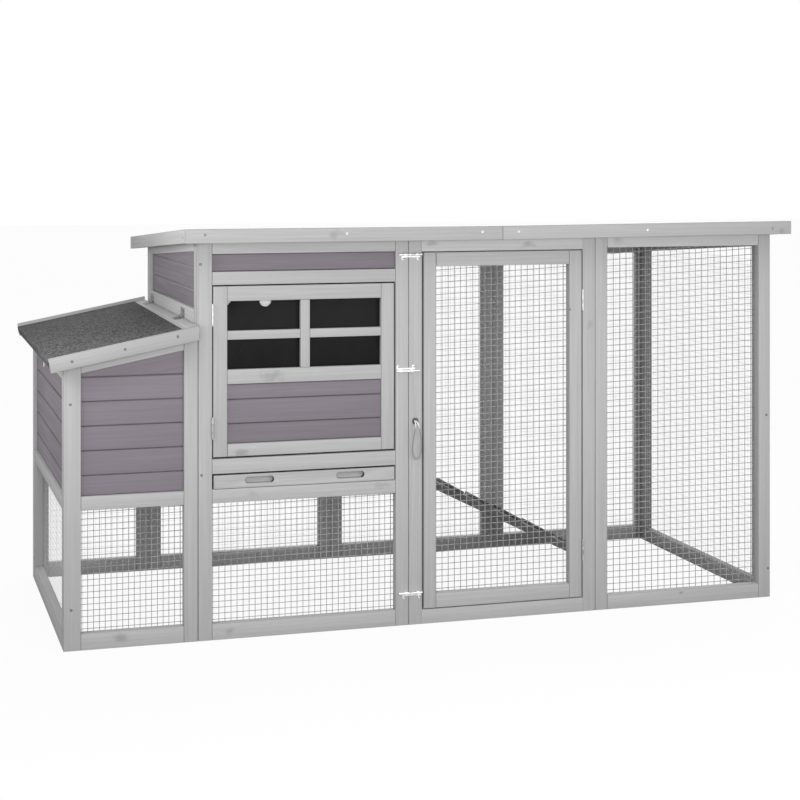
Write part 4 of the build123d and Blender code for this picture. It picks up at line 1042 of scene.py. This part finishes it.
for x, z in ((-0.9313, 0.703), (-0.8043, 0.729), (-0.6763, 0.756)):
    spots += [("nest_lid_fascia", (x, -clear_off, z), inwards)]
    spots += [("nest_lid_fascia", (x, clear_off, z + far_lift), outwards)]
screw_heads("lid_fascia_screws", "nest_lid", dark_screw, panel_screw, spots)
ear_middle = 0.0026
spots = [("bolt_bodies", (x + ear_middle, -clear_off, z), inwards) for x, z in (
    (-0.0648, 0.6593), (-0.1058, 0.6593), (-0.0928, 0.9357), (-0.0518, 0.9357),
    (-0.0898, 0.0717), (-0.0488, 0.0717),
)]
screw_heads("bolt_screws", "coop", dull_screw, bolt_screw, spots)
lid_hinge_rows = [middle + side for middle in (-0.2096, 0.2994) for side in (-0.017, 0.017)]
wall_row, lid_row = 0.7975, -0.6365
spots = [("hinge_fixed_leaves", (clear_left, y, wall_row), from_left) for y in lid_hinge_rows]
screw_heads("lid_hinge_wall_screws", "coop", dark_screw, hinge_screw, spots)
spots = [("lid_leaves", (lid_row, y, clear_above), down) for y in lid_hinge_rows]
screw_heads("lid_hinge_lid_screws", "nest_lid", dark_screw, hinge_screw, spots)


# Cord fittings: a collar round the bright tube in the post, near black as painted shade of the
# hole, and two small screw eyes on the house wall.
fitting_edge = 0.0003
guide = Vector((-0.06027, -0.43164, 0.520))
collar_bore, collar_rim = 0.006, 0.009
dark_collar = clouded_metal(
    "dark_collar", dull=(0.010, 0.010, 0.010), bright=(0.03, 0.03, 0.03), metal=0.0,
)
cord_eyes = eased_copy("cord_eyes", fitting_edge)
put_up(cord_eyes, "cord_eyes", "coop", bright_zinc)


def on_collar(face):
    """Tell whether a face of the fittings is on the collar that stands in front of the post."""
    places = [cord_eyes.data.vertices[number].co for number in face.vertices]
    reach = max((place.xz - guide.xz).length for place in places)
    return face.center.y < guide.y - skin and collar_bore < reach < collar_rim


further_finish(cord_eyes, dark_collar, on_collar)


# Cord: thin braided white nylon, white inside and near the guide, grey lower on the loop outside.
# It comes out of the guide, and inside it runs up and over the two eyes and down to the pop door.
braid, tree, shader = new_finish("braided_cord")
place = own_place(tree)
plait = add_node(tree, "TexVoronoi", {"Vector": place, "Scale": 900.0}).outputs["Distance"]
outer_loop_strand, outer_loop_gap = (0.38, 0.38, 0.375), (0.25, 0.25, 0.245)
clean_strand = (0.88, 0.88, 0.87)
outer_loop_grey = two_tones(tree, plait, outer_loop_strand, outer_loop_gap)
height = add_node(tree, "SeparateXYZ", {"Vector": place}).outputs["Z"]
set_inputs(shader, {
    "Base Color": blend(tree, spread(tree, height, low=0.500, high=0.514), outer_loop_grey, clean_strand),
    "Normal": relief(tree, plait, strength=0.5, depth=0.0004), "Roughness": 0.85,
})


def strung(name, points):
    """A round cord along one smooth line through the route's points."""
    line = bpy.data.curves.new(name, "CURVE")
    line.dimensions = "3D"
    line.bevel_depth = 0.00175
    line.bevel_resolution = 3
    line.use_fill_caps = True
    route = line.splines.new("NURBS")
    route.points.add(len(points) - 1)
    for knot, point in zip(route.points, points):
        knot.co = (*point, 1.0)
    route.order_u = 3
    route.use_endpoint_u = True
    route.resolution_u = 8
    piece = bpy.data.objects.new(name, line)
    bpy.context.scene.collection.objects.link(piece)
    return piece


lean = 0.02
strand = [
    (0.0020, 0.0010, 0.0), (0.0023, -0.0120, -0.0005), (0.0046, -0.0190, -0.0120),
    (0.0090, -0.0170, -0.0330), (0.0120, -0.0125, -0.0610), (0.0105, -0.0095, -0.0840),
    (0.0042, -0.0090, -0.0960),
]
loop = [guide + Vector((-side - lean * drop, out, drop)) for side, out, drop in strand]
loop += [guide + Vector((side - lean * drop, out, drop)) for side, out, drop in reversed(strand)]
cord_loop = strung("cord_loop_made", loop)
put_up(cord_loop, "cord_loop", "coop", braid)
run = [
    (-0.06027, -0.40714, 0.520), (-0.06027, -0.39364, 0.520), (-0.06057, -0.39364, 0.5335),
    (-0.06881, -0.39364, 0.907), (-0.06927, -0.39364, 0.928), (-0.06927, -0.37264, 0.928),
    (-0.06927, 0.20536, 0.928), (-0.06927, 0.22636, 0.928), (-0.06927, 0.22636, 0.905),
]
cord_run = strung("cord_run_made", run)
put_up(cord_run, "cord_run", "coop", braid)
drop = [(-0.06927, 0.22636, 0.905), (-0.06927, 0.22636, 0.672)]
take_up(strung("cord_drop_made", drop))
bpy.ops.object.convert(target="MESH")
cord_drop = bpy.context.object
put_up(cord_drop, "cord_drop", "coop", braid)
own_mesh(cord_drop)
